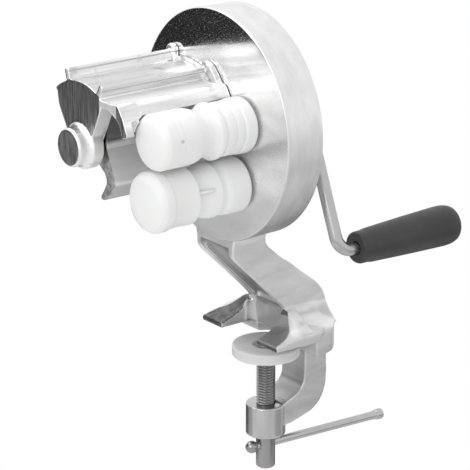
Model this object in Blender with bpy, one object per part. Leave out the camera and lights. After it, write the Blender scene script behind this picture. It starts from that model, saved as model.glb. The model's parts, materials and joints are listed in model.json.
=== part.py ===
"""Hand-cranked machine that rolls and cuts short pasta, clamped to a table edge.

Metres, +Z up. The origin is on the flat underside of the jaw, on the centreline,
between the slot of the two feet and the rear lip. The gear case stands above it
with its flat face towards -Y, and the crank is behind the case.
"""
import math

import bmesh
import bpy
from mathutils import Matrix, Vector

# Whole machine
CASE_HEIGHT = 0.1324
CASE_FORWARD = 0.050
GAP = 0.0003
OVERRUN = 0.004
MERGE = 0.00001

# Gear case and rear cover
WALL_THICKNESS = 0.004
FACE_THICKNESS = 0.0042
COVER_THICKNESS = 0.0045
COVER_LEDGE = 0.0018
CASE_CLEARANCE = 0.0021
CASE_EDGE = 0.0010
CASE_DRAFT = 0.0005
COVER_SCREW_INSET = 0.0105
COVER_BOSS_RADIUS = 0.0045
COVER_HUB_RADIUS = 0.0120
COVER_HUB_LENGTH = 0.0055
ROTOR_HUB_RADIUS = 0.0090
ROTOR_HUB_LENGTH = 0.0030

# Gears
GEAR_MODULE = 0.0015
PRESSURE_ANGLE = math.radians(20)
DEDENDUM_SHARE = 1.25
BACKLASH = 0.0004
ROLLER_GEAR_WIDTH = 0.006
MAIN_GEAR_WIDTH = 0.006
GEAR_SIDE_GAP = 0.0011
GEAR_LAYER_GAP = 0.0024
ROLLER_GEAR_TEETH = 24
MAIN_GEAR_TEETH = 42
ROTOR_GEAR_TEETH = 28

# Shaft axes, seen from the front, and their shafts
DRIVE_X = 0.0275
DRIVE_UP = 0.0070
LOWER_ANGLE = math.radians(261.2)
ROTOR_ANGLE = math.radians(191.9)
DRIVE_SHAFT_RADIUS = 0.006
LOWER_SHAFT_RADIUS = 0.005
ROTOR_SHAFT_RADIUS = 0.005
BUSH_WALL = 0.0022
SPACER_WALL = 0.0020
KEY_WIDTH = 0.0025
KEY_HEIGHT = 0.0025
KEY_DEPTH_SHARE = 0.5
KEY_INSET = 0.0004
CLIP_THICKNESS = 0.0010
CLIP_GROOVE = 0.0008
CLIP_WALL = 0.0030

# Rollers and cutter
ROLLER_STANDOFF = 0.0015
ROLLER_LENGTH = 0.0642
ROLLER_NIP = 0.0025
UPPER_ROLLER_SHARE = 0.478
ROLLER_END_WALL = 0.0090
UPPER_PIN_ANGLE = math.radians(11)
LOWER_PIN_ANGLE = math.radians(80)
UPPER_PIN_INSET = 0.0030
LOWER_PIN_HEIGHT = 0.0129
PIN_RADIUS = 0.0010
PIN_RECESS = 0.0006
RIB_WIDTH = 0.0016
RIB_COUNT = 3
RIB_ANGLE = math.radians(17)
RIB_LOW_SHARE = 0.70
RIB_HIGH_SHARE = 0.915
RIB_FRONT_SHARE = 0.42
RIB_BACK_SHARE = 0.60
CUTTER_HUB_RADIUS = 0.0098
CUTTER_CLEARANCE = 0.0012
CUTTER_PIN_HEIGHT = 0.0110
CUTTER_PIN_ANGLE = math.radians(-25)
BLADE_COUNT = 3

# Forming hood
HOOD_CLEARANCE = 0.0008
HOOD_WALL = 0.0026
HOOD_LENGTH = 0.0750
HOOD_FRONT_WALL = 0.0090
FIN_HEIGHT = 0.0066
FIN_HALF_WIDTH = 0.0018
FIN_ROUND = 0.0012
FIN_ANGLES = (math.radians(106.5), math.radians(60.8))
HOOD_END_ANGLE = math.radians(129)
HOOD_START_ANGLE = math.radians(48)
FAN_START_ANGLE = math.radians(54)
FAN_END_ANGLE = math.radians(128)
HORN_CLEARANCE = 0.0015
HORN_TOP_ANGLE = math.radians(133)
HORN_TIP_ANGLE = math.radians(162)
HORN_LOW_ANGLE = math.radians(23)
HORN_HIGH_ANGLE = math.radians(36)
HOOD_BOSS_RADIUS = 0.0112
HOOD_BOSS_LENGTH = 0.0082
HOOD_BOSS_DEPTH = 0.0110
HOOD_BOSS_EDGE = 0.0010
HOOD_BOSS_END = 0.0045
LUG_RADIUS = 0.0042
LUG_LENGTH = 0.0050
LUG_OFFSET = 0.0032

# Small screws
SCREW_RADIUS = 0.0018
SCREW_HEAD_RADIUS = 0.0037
SCREW_HEAD_HEIGHT = 0.0025
SCREW_REACH = 0.0070
HOOD_SCREW_REACH = 0.0035
SCREW_SLOT_WIDTH = 0.0010
SCREW_SLOT_DEPTH = 0.0009

# Crank and grip
ROD_RADIUS = 0.00375
ROD_SEAT = 0.0150
SHAFT_TAIL = 0.0012
NUT_ACROSS = 0.0130
NUT_THICKNESS = 0.0038
NUT_SET = 0.0004
ARM_CLEARANCE = 0.0135
CRANK_ARM = 0.0830
CRANK_BEND = 0.0090
CRANK_ANGLE = math.radians(291.5)
GRIP_START = 0.0123
GRIP_LENGTH = 0.0740
GRIP_RADIUS = 0.0120
GRIP_NUT_RADIUS = 0.0062
GRIP_NUT_DEPTH = 0.0045

# Arm and jaw of the casting
ARM_HALF_WIDTH = 0.0170
FLANGE_WIDTH = 0.0042
WEB_RECESS = 0.0034
JAW_HALF_WIDTH = 0.0365
JAW_HEIGHT = 0.0170
LIP_DEPTH = 0.0092
LIP_FRONT = 0.0050
SLOT_HALF_WIDTH = 0.0165
FOOT_REACH = 0.0316
SPINE_HALF_WIDTH = 0.0110
THROAT_HEIGHT = 0.0470
CASTING_ROUND = 0.0012

# Clamp
SCREW_AXIS_FORWARD = 0.0110
CLAMP_SCREW_RADIUS = 0.0058
CLAMP_BOSS_RADIUS = 0.0120
CLAMP_BOSS_LENGTH = 0.0198
CLAMP_OPEN = 0.0094
PAD_RADIUS = 0.0203
PAD_THICKNESS = 0.0067
PAD_EDGE = 0.0009
PAD_SEAT_RADIUS = 0.0078
PAD_SEAT_DEPTH = 0.0026
PAD_RUN_CLEARANCE = 0.0014
NECK_RADIUS = 0.0040
PAD_CLIP_THICKNESS = 0.0012
PAD_CLIP_WALL = 0.0026
SCREW_TAIL = 0.0145
SCREW_EDGE = 0.0008
TOMMY_RADIUS = 0.0025
TOMMY_DROP = 0.0073
TOMMY_LENGTH = 0.0965
TOMMY_BALL_RADIUS = 0.0038
TOMMY_BALL_SET = 0.0100
TOMMY_SWAGE_RADIUS = 0.0033
TOMMY_SWAGE_LENGTH = 0.0060
TOMMY_ANGLE = math.radians(-5.0)

# Worked out from the sizes above
ROLLER_SPACING = GEAR_MODULE * ROLLER_GEAR_TEETH
ROTOR_SPACING = GEAR_MODULE * (MAIN_GEAR_TEETH + ROTOR_GEAR_TEETH) / 2
UPPER_RADIUS = (ROLLER_SPACING - ROLLER_NIP) * UPPER_ROLLER_SHARE
LOWER_RADIUS = (ROLLER_SPACING - ROLLER_NIP) * (1 - UPPER_ROLLER_SHARE)
DRIVE_PLACE = Vector((DRIVE_X, DRIVE_UP))
LOWER_PLACE = DRIVE_PLACE + ROLLER_SPACING * Vector((math.cos(LOWER_ANGLE), math.sin(LOWER_ANGLE)))
ROTOR_PLACE = DRIVE_PLACE + ROTOR_SPACING * Vector((math.cos(ROTOR_ANGLE), math.sin(ROTOR_ANGLE)))
MAIN_GEAR_TIP = GEAR_MODULE * (MAIN_GEAR_TEETH / 2 + 1)
CASE_INNER = DRIVE_PLACE.length + MAIN_GEAR_TIP + CASE_CLEARANCE
CASE_RADIUS = CASE_INNER + WALL_THICKNESS
ROLLER_GEAR_BACK = FACE_THICKNESS + GEAR_SIDE_GAP + ROLLER_GEAR_WIDTH
MAIN_GEAR_FRONT = ROLLER_GEAR_BACK + GEAR_LAYER_GAP
MAIN_GEAR_BACK = MAIN_GEAR_FRONT + MAIN_GEAR_WIDTH
COVER_FRONT = MAIN_GEAR_BACK + GEAR_SIDE_GAP
CASE_DEPTH = COVER_FRONT + COVER_THICKNESS
COVER_HUB_BACK = CASE_DEPTH + COVER_HUB_LENGTH
SHAFT_BACK = COVER_HUB_BACK + SHAFT_TAIL
CRANK_BACK = SHAFT_BACK + ARM_CLEARANCE
LOWER_TO_ROTOR = (LOWER_PLACE - ROTOR_PLACE).length
CUTTER_TIP = min(LOWER_TO_ROTOR - LOWER_RADIUS, ROTOR_SPACING - UPPER_RADIUS) - CUTTER_CLEARANCE
HOOD_INNER = CUTTER_TIP + HOOD_CLEARANCE
HOOD_OUTER = HOOD_INNER + HOOD_WALL
HOOD_WALL_BACK = HOOD_LENGTH - HOOD_FRONT_WALL
HOOD_BOSS_BACK = HOOD_LENGTH - HOOD_BOSS_DEPTH
ROLLER_END = ROLLER_STANDOFF + ROLLER_LENGTH
SHAFT_SEAT_LENGTH = ROLLER_END - ROLLER_END_WALL
UPPER_PIN_HEIGHT = SHAFT_SEAT_LENGTH - UPPER_PIN_INSET
CUTTER_END = HOOD_BOSS_BACK - GAP
COVER_SCREW_CIRCLE = CASE_RADIUS - COVER_SCREW_INSET
COVER_SCREW_ANGLES = [math.radians(angle) for angle in (65, 140, 220, 282, 335)]
HOOD_SCREW_ANGLES = (FIN_ANGLES[0], FIN_ANGLES[1], HOOD_END_ANGLE)
PAD_TOP = -CLAMP_OPEN
PAD_BOTTOM = PAD_TOP - PAD_THICKNESS
BOSS_TOP = -THROAT_HEIGHT
BOSS_BOTTOM = BOSS_TOP - CLAMP_BOSS_LENGTH
TOMMY_HEIGHT = BOSS_BOTTOM - TOMMY_DROP
SCREW_BOTTOM = TOMMY_HEIGHT - SCREW_TAIL

# Turned profiles as shares: (radius, distance from the front end)
UPPER_ROLLER_SHARES = (
    (0.0, 0.0), (0.46, 0.004), (0.74, 0.015), (0.91, 0.036), (1.0, 0.072),
    (1.0, 0.165), (0.985, 0.173), (1.0, 0.181), (1.0, 0.222), (0.985, 0.230), (1.0, 0.238), (1.0, 0.35),
    (0.975, 0.40), (0.90, 0.455), (0.835, 0.50), (0.86, 0.555), (0.955, 0.595), (1.01, 0.61),
    (1.01, 0.65), (0.955, 0.667), (0.925, 0.694), (0.96, 0.705), (0.965, 0.77), (0.925, 0.783),
    (0.96, 0.797), (0.97, 0.855), (0.93, 0.869), (1.0, 0.885), (1.0, 0.985), (0.965, 1.0),
)
LOWER_ROLLER_SHARES = (
    (0.0, 0.0), (0.46, 0.004), (0.74, 0.016), (0.91, 0.038), (1.0, 0.076), (1.0, 0.157),
    (0.955, 0.173), (0.95, 0.24), (0.94, 0.25), (0.945, 0.33), (0.965, 0.41), (0.965, 0.43),
    (0.775, 0.436), (0.765, 0.475), (0.81, 0.54), (0.89, 0.61), (0.925, 0.68),
    (0.86, 0.694), (0.84, 0.74), (0.89, 0.765), (0.915, 0.79), (0.915, 0.985), (0.88, 1.0),
)
GRIP_SHARES = (
    (0.70, 0.0), (0.78, 0.014), (0.79, 0.09), (0.83, 0.12), (0.93, 0.50), (1.0, 0.86),
    (0.985, 0.93), (0.90, 0.98), (0.78, 1.0),
)

# Outlines as shares of the hood's outer radius, drawn round the cutter's axis
SKIRT_OUTER_SHARES = ((0.706, 0.809), (0.985, 0.834), (1.092, 0.668))
SKIRT_INNER_SHARES = ((0.975, 0.632), (0.895, 0.742), (0.62, 0.705))
HORN_ROOT_SHARES = ((0.910, 0.706), (1.040, 0.690))
FAN_SHARES = (
    (0.57, 0.72), (0.374, 0.314), (0.20, 0.0), (0.0, -0.16),
    (-0.20, 0.0), (-0.328, 0.150), (-0.558, 0.523), (-0.594, 0.756),
)
LEG_SHARES = ((0.62, 0.77), (0.985, 0.834), (1.115, 0.650), (1.235, 0.388), (1.105, 0.340),
              (1.021, 0.555), (0.900, 0.637), (0.76, 0.70), (0.62, 0.735))
BLADE_SHARES = (
    (-0.12, 0.10), (0.20, 0.10), (0.248, 0.018), (0.545, -0.615), (0.250, -0.965),
    (0.125, -0.990), (0.085, -0.950), (0.195, -0.800), (0.272, -0.665), (0.262, -0.540), (0.13, -0.43),
    (0.0, -0.34), (-0.12, -0.22),
)

# Arm: (height, front, back) as shares of the case's height and set-back, and half width
ARM_SHARES = (
    (0.585, -0.985, -0.515, 1.30), (0.530, -0.985, -0.515, 1.24), (0.500, -0.985, -0.515, 1.10),
    (0.475, -0.985, -0.512, 1.02), (0.445, -0.985, -0.470, 1.0), (0.418, -0.966, -0.390, 1.0),
    (0.371, -0.838, -0.244, 1.0), (0.346, -0.768, -0.140, 1.0), (0.295, -0.630, 0.014, 1.0),
    (0.229, -0.456, 0.244, 1.0), (0.182, -0.330, 0.350, 1.0), (0.120, -0.190, 0.416, 1.02),
    (0.080, -0.170, 0.428, 1.25), (0.040, -0.170, 0.430, 1.60),
)
# Jaw: corners seen from above as shares of its half width, then (height, width, depth) towards the arm
JAW_PLAN_SHARES = ((-1.0, -0.236), (1.0, -0.236), (1.0, 0.27), (0.67, 0.60), (-0.67, 0.60), (-1.0, 0.27))
JAW_SWEEP_SHARES = ((0.0, 1.0, 1.0), (0.35, 1.0, 1.0), (0.40, 0.92, 1.0), (0.47, 0.75, 1.0),
                    (0.59, 0.625, 0.98), (0.76, 0.53, 0.95), (1.0, 0.48, 0.92))
# Foot: (distance back, inner side, outer side, inner height, ridge across, ridge height, outer height)
FOOT_SHARES = (
    (-1.0, 1.01, 0.97, 0.19, 0.94, 0.19, 0.16), (-0.70, 1.01, 0.98, 0.365, 0.895, 0.35, 0.27),
    (-0.55, 1.0, 0.985, 0.52, 0.80, 0.46, 0.31), (-0.47, 0.99, 0.99, 0.71, 0.72, 0.60, 0.33),
    (-0.40, 0.96, 1.0, 0.92, 0.61, 0.80, 0.35), (-0.34, 0.94, 1.0, 0.99, 0.54, 0.95, 0.35),
    (-0.12, 0.94, 1.0, 0.99, 0.49, 0.98, 0.35),
)
# Back of the clamp: (back, height) as shares of the throat's height
SPINE_SHARES = (
    (0.219, 0.10), (0.22, -0.72), (0.198, -0.80), (0.145, -0.868), (0.04, -0.928), (-0.12, -0.975),
    (-0.18, -1.06), (-0.18, -1.25), (-0.05, -1.285), (0.14, -1.235), (0.34, -1.183), (0.46, -1.10),
    (0.55, -0.945), (0.583, -0.79), (0.582, -0.54), (0.55, -0.10), (0.47, 0.12),
)
# Cutter of the arm's front recess, on the same shares as the arm
CHANNEL_SHARES = ((0.440, -1.20), (0.440, -0.985), (0.418, -0.985), (0.150, -0.310), (0.05, -0.20),
                  (-0.02, -0.20), (-0.02, -1.20))

CASE_SIDES = 64
ROLLER_SIDES = 32
ROUND_SIDES = 20
BORE_SIDES = 16
SCREW_SIDES = 10
BEND_STEPS = 7
BALL_STEPS = 8
CREASE = math.radians(32)
FRONT_TURN = (math.pi / 2, 0, 0)
SIDE_TURN = (math.pi / 2, 0, math.pi / 2)


def clear_scene():
    for thing in list(bpy.data.objects):
        bpy.data.objects.remove(thing, do_unlink=True)


def stock(name, colour, roughness, metallic):
    """A plain material with the part's colour and finish."""
    made = bpy.data.materials.get(name)
    if made is None:
        made = bpy.data.materials.new(name)
        made.use_nodes = True
        shader = made.node_tree.nodes["Principled BSDF"]
        shader.inputs["Base Color"].default_value = (*colour, 1)
        shader.inputs["Roughness"].default_value = roughness
        shader.inputs["Metallic"].default_value = metallic
    return made


def cast_aluminium():
    return stock("cast_aluminium", (0.78, 0.78, 0.78), 0.22, 1.0)


def steel():
    return stock("steel", (0.56, 0.56, 0.57), 0.25, 1.0)


def bronze():
    return stock("bronze", (0.55, 0.38, 0.18), 0.35, 1.0)


def white_plastic():
    return stock("white_plastic", (0.88, 0.88, 0.87), 0.35, 0.0)


def black_plastic():
    return stock("black_plastic", (0.02, 0.02, 0.02), 0.4, 0.0)


def axis_frame(name, place, turn=(0, 0, 0), parent=None):
    """An empty that carries pieces; a moving body's empty is on its joint's axis."""
    guide = bpy.data.objects.new(name, None)
    guide.location = place
    guide.rotation_euler = turn
    guide.parent = parent
    bpy.context.scene.collection.objects.link(guide)
    return guide


def finish(name, shape, material, parent):
    """Turn a bmesh into a named object with smooth round faces."""
    bmesh.ops.remove_doubles(shape, verts=shape.verts, dist=MERGE)
    bmesh.ops.recalc_face_normals(shape, faces=shape.faces)
    mesh = bpy.data.meshes.new(name)
    shape.to_mesh(mesh)
    shape.free()
    mesh.shade_smooth()
    mesh.set_sharp_from_angle(angle=CREASE)
    mesh.materials.append(material)
    made = bpy.data.objects.new(name, mesh)
    made.parent = parent
    bpy.context.scene.collection.objects.link(made)
    return made


def combine(target, tools, operation):
    """Cut or join hidden shapes with a Boolean modifier each."""
    for tool in tools:
        step = target.modifiers.new(tool.name, "BOOLEAN")
        step.operation = operation
        step.solver = "EXACT"
        step.object = tool
        tool.hide_render = True
        tool.display_type = "WIRE"
    return target


def cut(target, *tools):
    return combine(target, tools, "DIFFERENCE")


def join(target, *tools):
    return combine(target, tools, "UNION")


def flatten_caps(shape, profile, places):
    """Make each flat end of a turned shape one face, in place of its fan of triangles."""
    poles = []
    for end, beside in ((profile[0], profile[1]), (profile[-1], profile[-2])):
        if end[0] == 0 and end[1] == beside[1]:
            poles += [Vector((across, along, end[1])) for across, along in places]
    found = [vertex for vertex in shape.verts if any((vertex.co - pole).length < MERGE for pole in poles)]
    bmesh.ops.dissolve_verts(shape, verts=found)


def turned(name, profile, material, parent, sides=ROUND_SIDES, places=((0, 0),)):
    """Spin a profile of (radius, height) round the local Z axis, once at each place."""
    shape = bmesh.new()
    for across, along in places:
        points = [shape.verts.new((across + radius, along, height)) for radius, height in profile]
        pairs = list(zip(points, points[1:]))
        if profile[0][0] > 0:
            pairs.append((points[-1], points[0]))
        edges = [shape.edges.new(pair) for pair in pairs]
        bmesh.ops.spin(shape, geom=points + edges, cent=(across, along, 0), axis=(0, 0, 1),
                       angle=math.tau, steps=sides, use_merge=True)
    bmesh.ops.remove_doubles(shape, verts=shape.verts, dist=MERGE)
    flatten_caps(shape, profile, places)
    return finish(name, shape, material, parent)


def rod(name, radius, low, high, material, parent, sides=ROUND_SIDES, places=((0, 0),)):
    """A plain round bar from low to high along the local Z axis."""
    return turned(name, ((0, low), (radius, low), (radius, high), (0, high)), material, parent, sides, places)


def ring(name, inner, outer, low, high, material, parent, sides=ROUND_SIDES):
    """A plain round sleeve."""
    profile = ((inner, low), (outer, low), (outer, high), (inner, high))
    return turned(name, profile, material, parent, sides)


def prism(name, outlines, low, high, material, parent):
    """Extrude flat outlines of (x, y) along the local Z axis."""
    shape = bmesh.new()
    for outline in outlines:
        face = shape.faces.new([shape.verts.new((across, along, low)) for across, along in outline])
        raised = bmesh.ops.extrude_face_region(shape, geom=[face])
        corners = [part for part in raised["geom"] if isinstance(part, bmesh.types.BMVert)]
        bmesh.ops.translate(shape, verts=corners, vec=(0, 0, high - low))
    return finish(name, shape, material, parent)


def loft(name, sections, material, parent):
    """Skin a row of sections, each with as many corners, and close both ends."""
    shape = bmesh.new()
    rings = [[shape.verts.new(corner) for corner in section] for section in sections]
    for lower, upper in zip(rings, rings[1:]):
        for index in range(len(lower)):
            after = (index + 1) % len(lower)
            shape.faces.new((lower[index], lower[after], upper[after], upper[index]))
    shape.faces.new(rings[0])
    shape.faces.new(rings[-1])
    return finish(name, shape, material, parent)


def block(name, low, high, material, parent, turn=0):
    """A box between two corners, turned round the local Z axis."""
    shape = bmesh.new()
    bmesh.ops.create_cube(shape, size=1)
    sizes = [top - bottom for bottom, top in zip(low, high)]
    middle = [(top + bottom) / 2 for bottom, top in zip(low, high)]
    bmesh.ops.scale(shape, vec=sizes, verts=shape.verts)
    bmesh.ops.translate(shape, vec=middle, verts=shape.verts)
    bmesh.ops.rotate(shape, cent=(0, 0, 0), matrix=Matrix.Rotation(turn, 3, "Z"), verts=shape.verts)
    return finish(name, shape, material, parent)


def round_edges(target, width, limit=math.radians(30)):
    """Break the sharp edges of a casting shape."""
    step = target.modifiers.new("edges", "BEVEL")
    step.width = width
    step.segments = 1
    step.limit_method = "ANGLE"
    step.angle_limit = limit
    return target


def polar(radius, angle):
    return Vector((radius * math.cos(angle), radius * math.sin(angle)))


def arc(radius, start, end, steps):
    """Points along an arc round the local origin."""
    return [polar(radius, start + (end - start) * step / steps) for step in range(steps + 1)]


def scaled(shares, size):
    """Points of an outline from shares of one size."""
    return [Vector((across * size, along * size)) for across, along in shares]


def spun_shares(shares, radius, length, front):
    """A turned profile from shares, with the front end at the given height."""
    return [(across * radius, front - along * length) for across, along in shares]


def gear_outline(teeth, first_tooth):
    """Straight-sided involute teeth, thinned for backlash, one of them at first_tooth."""
    pitch = GEAR_MODULE * teeth / 2
    base = pitch * math.cos(PRESSURE_ANGLE)
    levels = (pitch - GEAR_MODULE * DEDENDUM_SHARE, pitch, pitch + GEAR_MODULE)
    half_pitch = (math.pi * GEAR_MODULE / 2 - BACKLASH) / (2 * pitch)

    def rise(slope):
        return math.tan(slope) - slope

    def half_angle(radius):
        return half_pitch + rise(PRESSURE_ANGLE) - rise(math.acos(base / max(radius, base)))

    outline = []
    for tooth in range(teeth):
        middle = first_tooth + math.tau * tooth / teeth
        outline += [polar(level, middle - half_angle(level)) for level in levels]
        outline += [polar(level, middle + half_angle(level)) for level in reversed(levels)]
    return outline


def keyway(name, shaft_radius, front, back, parent, grow=0):
    """The square key that locks a gear to its shaft, or the slot for it."""
    bottom = shaft_radius - KEY_HEIGHT * KEY_DEPTH_SHARE - grow
    top = bottom + KEY_HEIGHT + grow + grow
    half = KEY_WIDTH / 2 + grow
    return block(name, (-half, bottom, back - grow), (half, top, front + grow), steel(), parent)


def gear(name, teeth, first_tooth, shaft_radius, front, width, parent):
    """A spur gear with its bore and keyway, between front and front - width."""
    blank = prism(name, [gear_outline(teeth, first_tooth)], front - width, front, steel(), parent)
    bore = rod(name + "_bore", shaft_radius + GAP, front - width - OVERRUN, front + OVERRUN, steel(), parent)
    slot = keyway(name + "_slot", shaft_radius, front + OVERRUN, front - width - OVERRUN, parent, GAP)
    return cut(blank, bore, slot)


def cross_pin(name, angle, height, outer, inner, parent, grow=0):
    """A round pin across a shaft, from inner to outer along the given direction."""
    shape = bmesh.new()
    profile = ((0, inner - grow), (PIN_RADIUS + grow, inner - grow),
               (PIN_RADIUS + grow, outer + grow), (0, outer + grow))
    points = [shape.verts.new((radius, 0, place)) for radius, place in profile]
    edges = [shape.edges.new(pair) for pair in zip(points, points[1:])]
    bmesh.ops.spin(shape, geom=points + edges, cent=(0, 0, 0), axis=(0, 0, 1),
                   angle=math.tau, steps=SCREW_SIDES, use_merge=True)
    turn = Matrix.Rotation(angle, 3, "Z") @ Matrix.Rotation(math.pi / 2, 3, "Y")
    bmesh.ops.rotate(shape, cent=(0, 0, 0), matrix=turn, verts=shape.verts)
    bmesh.ops.translate(shape, vec=(0, 0, height), verts=shape.verts)
    return finish(name, shape, steel(), parent)


def screw(name, seat, tip, place, parent):
    """One slotted pan-head screw whose head faces the back."""
    guide = axis_frame(name + "_axis", (*place, 0), parent=parent)
    under = seat - GAP
    top = under - SCREW_HEAD_HEIGHT
    profile = ((0, top), (SCREW_HEAD_RADIUS - SCREW_SLOT_WIDTH, top),
               (SCREW_HEAD_RADIUS, top + SCREW_HEAD_HEIGHT / 2), (SCREW_HEAD_RADIUS, under),
               (SCREW_RADIUS, under), (SCREW_RADIUS, tip), (0, tip))
    made = turned(name, profile, steel(), guide, SCREW_SIDES)
    reach = SCREW_HEAD_RADIUS + OVERRUN
    half = SCREW_SLOT_WIDTH / 2
    return cut(made, block(name + "_slot", (-reach, -half, top - OVERRUN),
                           (reach, half, top + SCREW_SLOT_DEPTH), steel(), guide))


def screw_set(name, seat, tip, places, parent):
    """A row of equal screws, each its own piece."""
    for number, place in enumerate(places, 1):
        screw(name + "_" + str(number), seat, tip, place, parent)


def places_on(centre, radius, angles):
    return [tuple(Vector(centre) + polar(radius, angle)) for angle in angles]


def case_drum(front):
    """The casting's solid drum, before it is hollowed."""
    profile = ((0, 0), (CASE_RADIUS - CASE_EDGE, 0), (CASE_RADIUS, -CASE_EDGE),
               (CASE_RADIUS - CASE_DRAFT, -CASE_DEPTH + CASE_EDGE),
               (CASE_RADIUS - CASE_DRAFT - CASE_EDGE, -CASE_DEPTH), (0, -CASE_DEPTH))
    return turned("body_casting", profile, cast_aluminium(), front, CASE_SIDES)


def case_hollow(front):
    """The room for the gears, with the ledge that the rear cover sits on."""
    ledge = CASE_INNER + COVER_LEDGE
    seat = -COVER_FRONT + GAP
    profile = ((0, -FACE_THICKNESS), (CASE_INNER, -FACE_THICKNESS), (CASE_INNER, seat),
               (ledge, seat), (ledge, -CASE_DEPTH - OVERRUN), (0, -CASE_DEPTH - OVERRUN))
    return turned("case_hollow", profile, cast_aluminium(), front, CASE_SIDES)


def arm_loft():
    """The neck and the leaning arm under the case."""
    sections = []
    for height, ahead, behind, width in ARM_SHARES:
        side = ARM_HALF_WIDTH * width
        level = CASE_HEIGHT * height
        start = CASE_FORWARD * ahead
        end = CASE_FORWARD * behind
        sections.append([(-side, start, level), (side, start, level), (side, end, level), (-side, end, level)])
    return round_edges(loft("arm", sections, cast_aluminium(), None), CASTING_ROUND * 2)


def jaw_loft():
    """The wide block that the arm sweeps out into above the two feet."""
    plan = scaled(JAW_PLAN_SHARES, JAW_HALF_WIDTH)
    sections = []
    for height, width, depth in JAW_SWEEP_SHARES:
        level = JAW_HEIGHT * height
        sections.append([(corner.x * width, corner.y * depth, level) for corner in plan])
    return loft("jaw", sections, cast_aluminium(), None)


def jaw_lip():
    """The lip behind the jaw that stops against the table's edge."""
    wide = scaled(JAW_PLAN_SHARES, JAW_HALF_WIDTH)
    back = [corner for corner in wide if corner.y > 0]
    front = [Vector((-JAW_HALF_WIDTH, -LIP_FRONT)), Vector((JAW_HALF_WIDTH, -LIP_FRONT))]
    shrink = 1 - CASTING_ROUND / JAW_HALF_WIDTH
    outline = front + back
    levels = ((shrink * shrink, -LIP_DEPTH), (shrink, -LIP_DEPTH + CASTING_ROUND), (shrink, OVERRUN))
    sections = [[(corner.x * share, corner.y * share, level) for corner in outline] for share, level in levels]
    return loft("jaw_lip", sections, cast_aluminium(), None)


def foot(side):
    """One of the two tongues that lie on the table, with a ridge that rises to the arm."""
    sections = []
    for back, inner, outer, tall, crest, peak, low in FOOT_SHARES:
        along = FOOT_REACH * back
        near = side * SLOT_HALF_WIDTH * inner
        far = side * JAW_HALF_WIDTH * outer
        ridge = side * JAW_HALF_WIDTH * crest
        sections.append([(near, along, 0), (far, along, 0), (far, along, JAW_HEIGHT * low),
                         (ridge, along, JAW_HEIGHT * peak), (near, along, JAW_HEIGHT * tall)])
    return loft("foot_left" if side < 0 else "foot_right", sections, cast_aluminium(), None)


def clamp_frame(side_frame):
    """The curved back of the clamp."""
    outline = scaled(SPINE_SHARES, THROAT_HEIGHT)
    made = prism("clamp_back", [outline], -SPINE_HALF_WIDTH, SPINE_HALF_WIDTH, cast_aluminium(), side_frame)
    return round_edges(made, CASTING_ROUND, math.radians(60))


def arm_channel(side_frame):
    """Cutter of the shallow recess down the arm's front."""
    outline = []
    for height, ahead in CHANNEL_SHARES:
        outline.append((CASE_FORWARD * ahead + WEB_RECESS, CASE_HEIGHT * height))
    half = ARM_HALF_WIDTH - FLANGE_WIDTH
    return prism("arm_channel", [outline], -half, half, cast_aluminium(), side_frame)


def shaft_holes(front):
    """Seats of the three bushes in the front face."""
    cutters = []
    rows = (("drive_hole", DRIVE_SHAFT_RADIUS, DRIVE_PLACE), ("lower_hole", LOWER_SHAFT_RADIUS, LOWER_PLACE),
            ("rotor_hole", ROTOR_SHAFT_RADIUS, ROTOR_PLACE))
    for name, radius, place in rows:
        seat = radius + BUSH_WALL + 2 * GAP
        cutters.append(rod(name, seat, -FACE_THICKNESS - OVERRUN, OVERRUN, bronze(), front, places=(place,)))
    return cutters


def body_casting(front, side_frame, clamp):
    """Gear case, arm, jaw and clamp back, cast in one."""
    body = case_drum(front)
    join(body, arm_loft(), jaw_loft(), jaw_lip(), foot(-1), foot(1), clamp_frame(side_frame))
    join(body, rod("clamp_boss", CLAMP_BOSS_RADIUS, BOSS_BOTTOM, BOSS_TOP, cast_aluminium(), clamp))
    cut(body, case_hollow(front), arm_channel(side_frame))
    cut(body, rod("pad_scallop", PAD_RADIUS + PAD_RUN_CLEARANCE, -LIP_DEPTH - OVERRUN, 0,
                  cast_aluminium(), clamp, ROLLER_SIDES))
    screw_places = places_on((0, 0), COVER_SCREW_CIRCLE, COVER_SCREW_ANGLES)
    seat = -COVER_FRONT + GAP
    join(body, rod("cover_bosses", COVER_BOSS_RADIUS, seat, -FACE_THICKNESS + OVERRUN / 2,
                   cast_aluminium(), front, BORE_SIDES, screw_places))
    cut(body, rod("cover_tappings", SCREW_RADIUS + GAP, seat - OVERRUN, seat + SCREW_REACH + OVERRUN,
                  cast_aluminium(), front, SCREW_SIDES, screw_places))
    cut(body, rod("hood_holes", SCREW_RADIUS + GAP, -FACE_THICKNESS - OVERRUN, OVERRUN,
                  cast_aluminium(), front, SCREW_SIDES, hood_screw_places()))
    cut(body, *shaft_holes(front))
    return cut(body, rod("clamp_bore", CLAMP_SCREW_RADIUS + GAP, BOSS_BOTTOM - OVERRUN, BOSS_TOP + OVERRUN,
                         cast_aluminium(), clamp))


def hood_screw_places():
    return places_on(ROTOR_PLACE, HOOD_OUTER + LUG_OFFSET, HOOD_SCREW_ANGLES)


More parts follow.
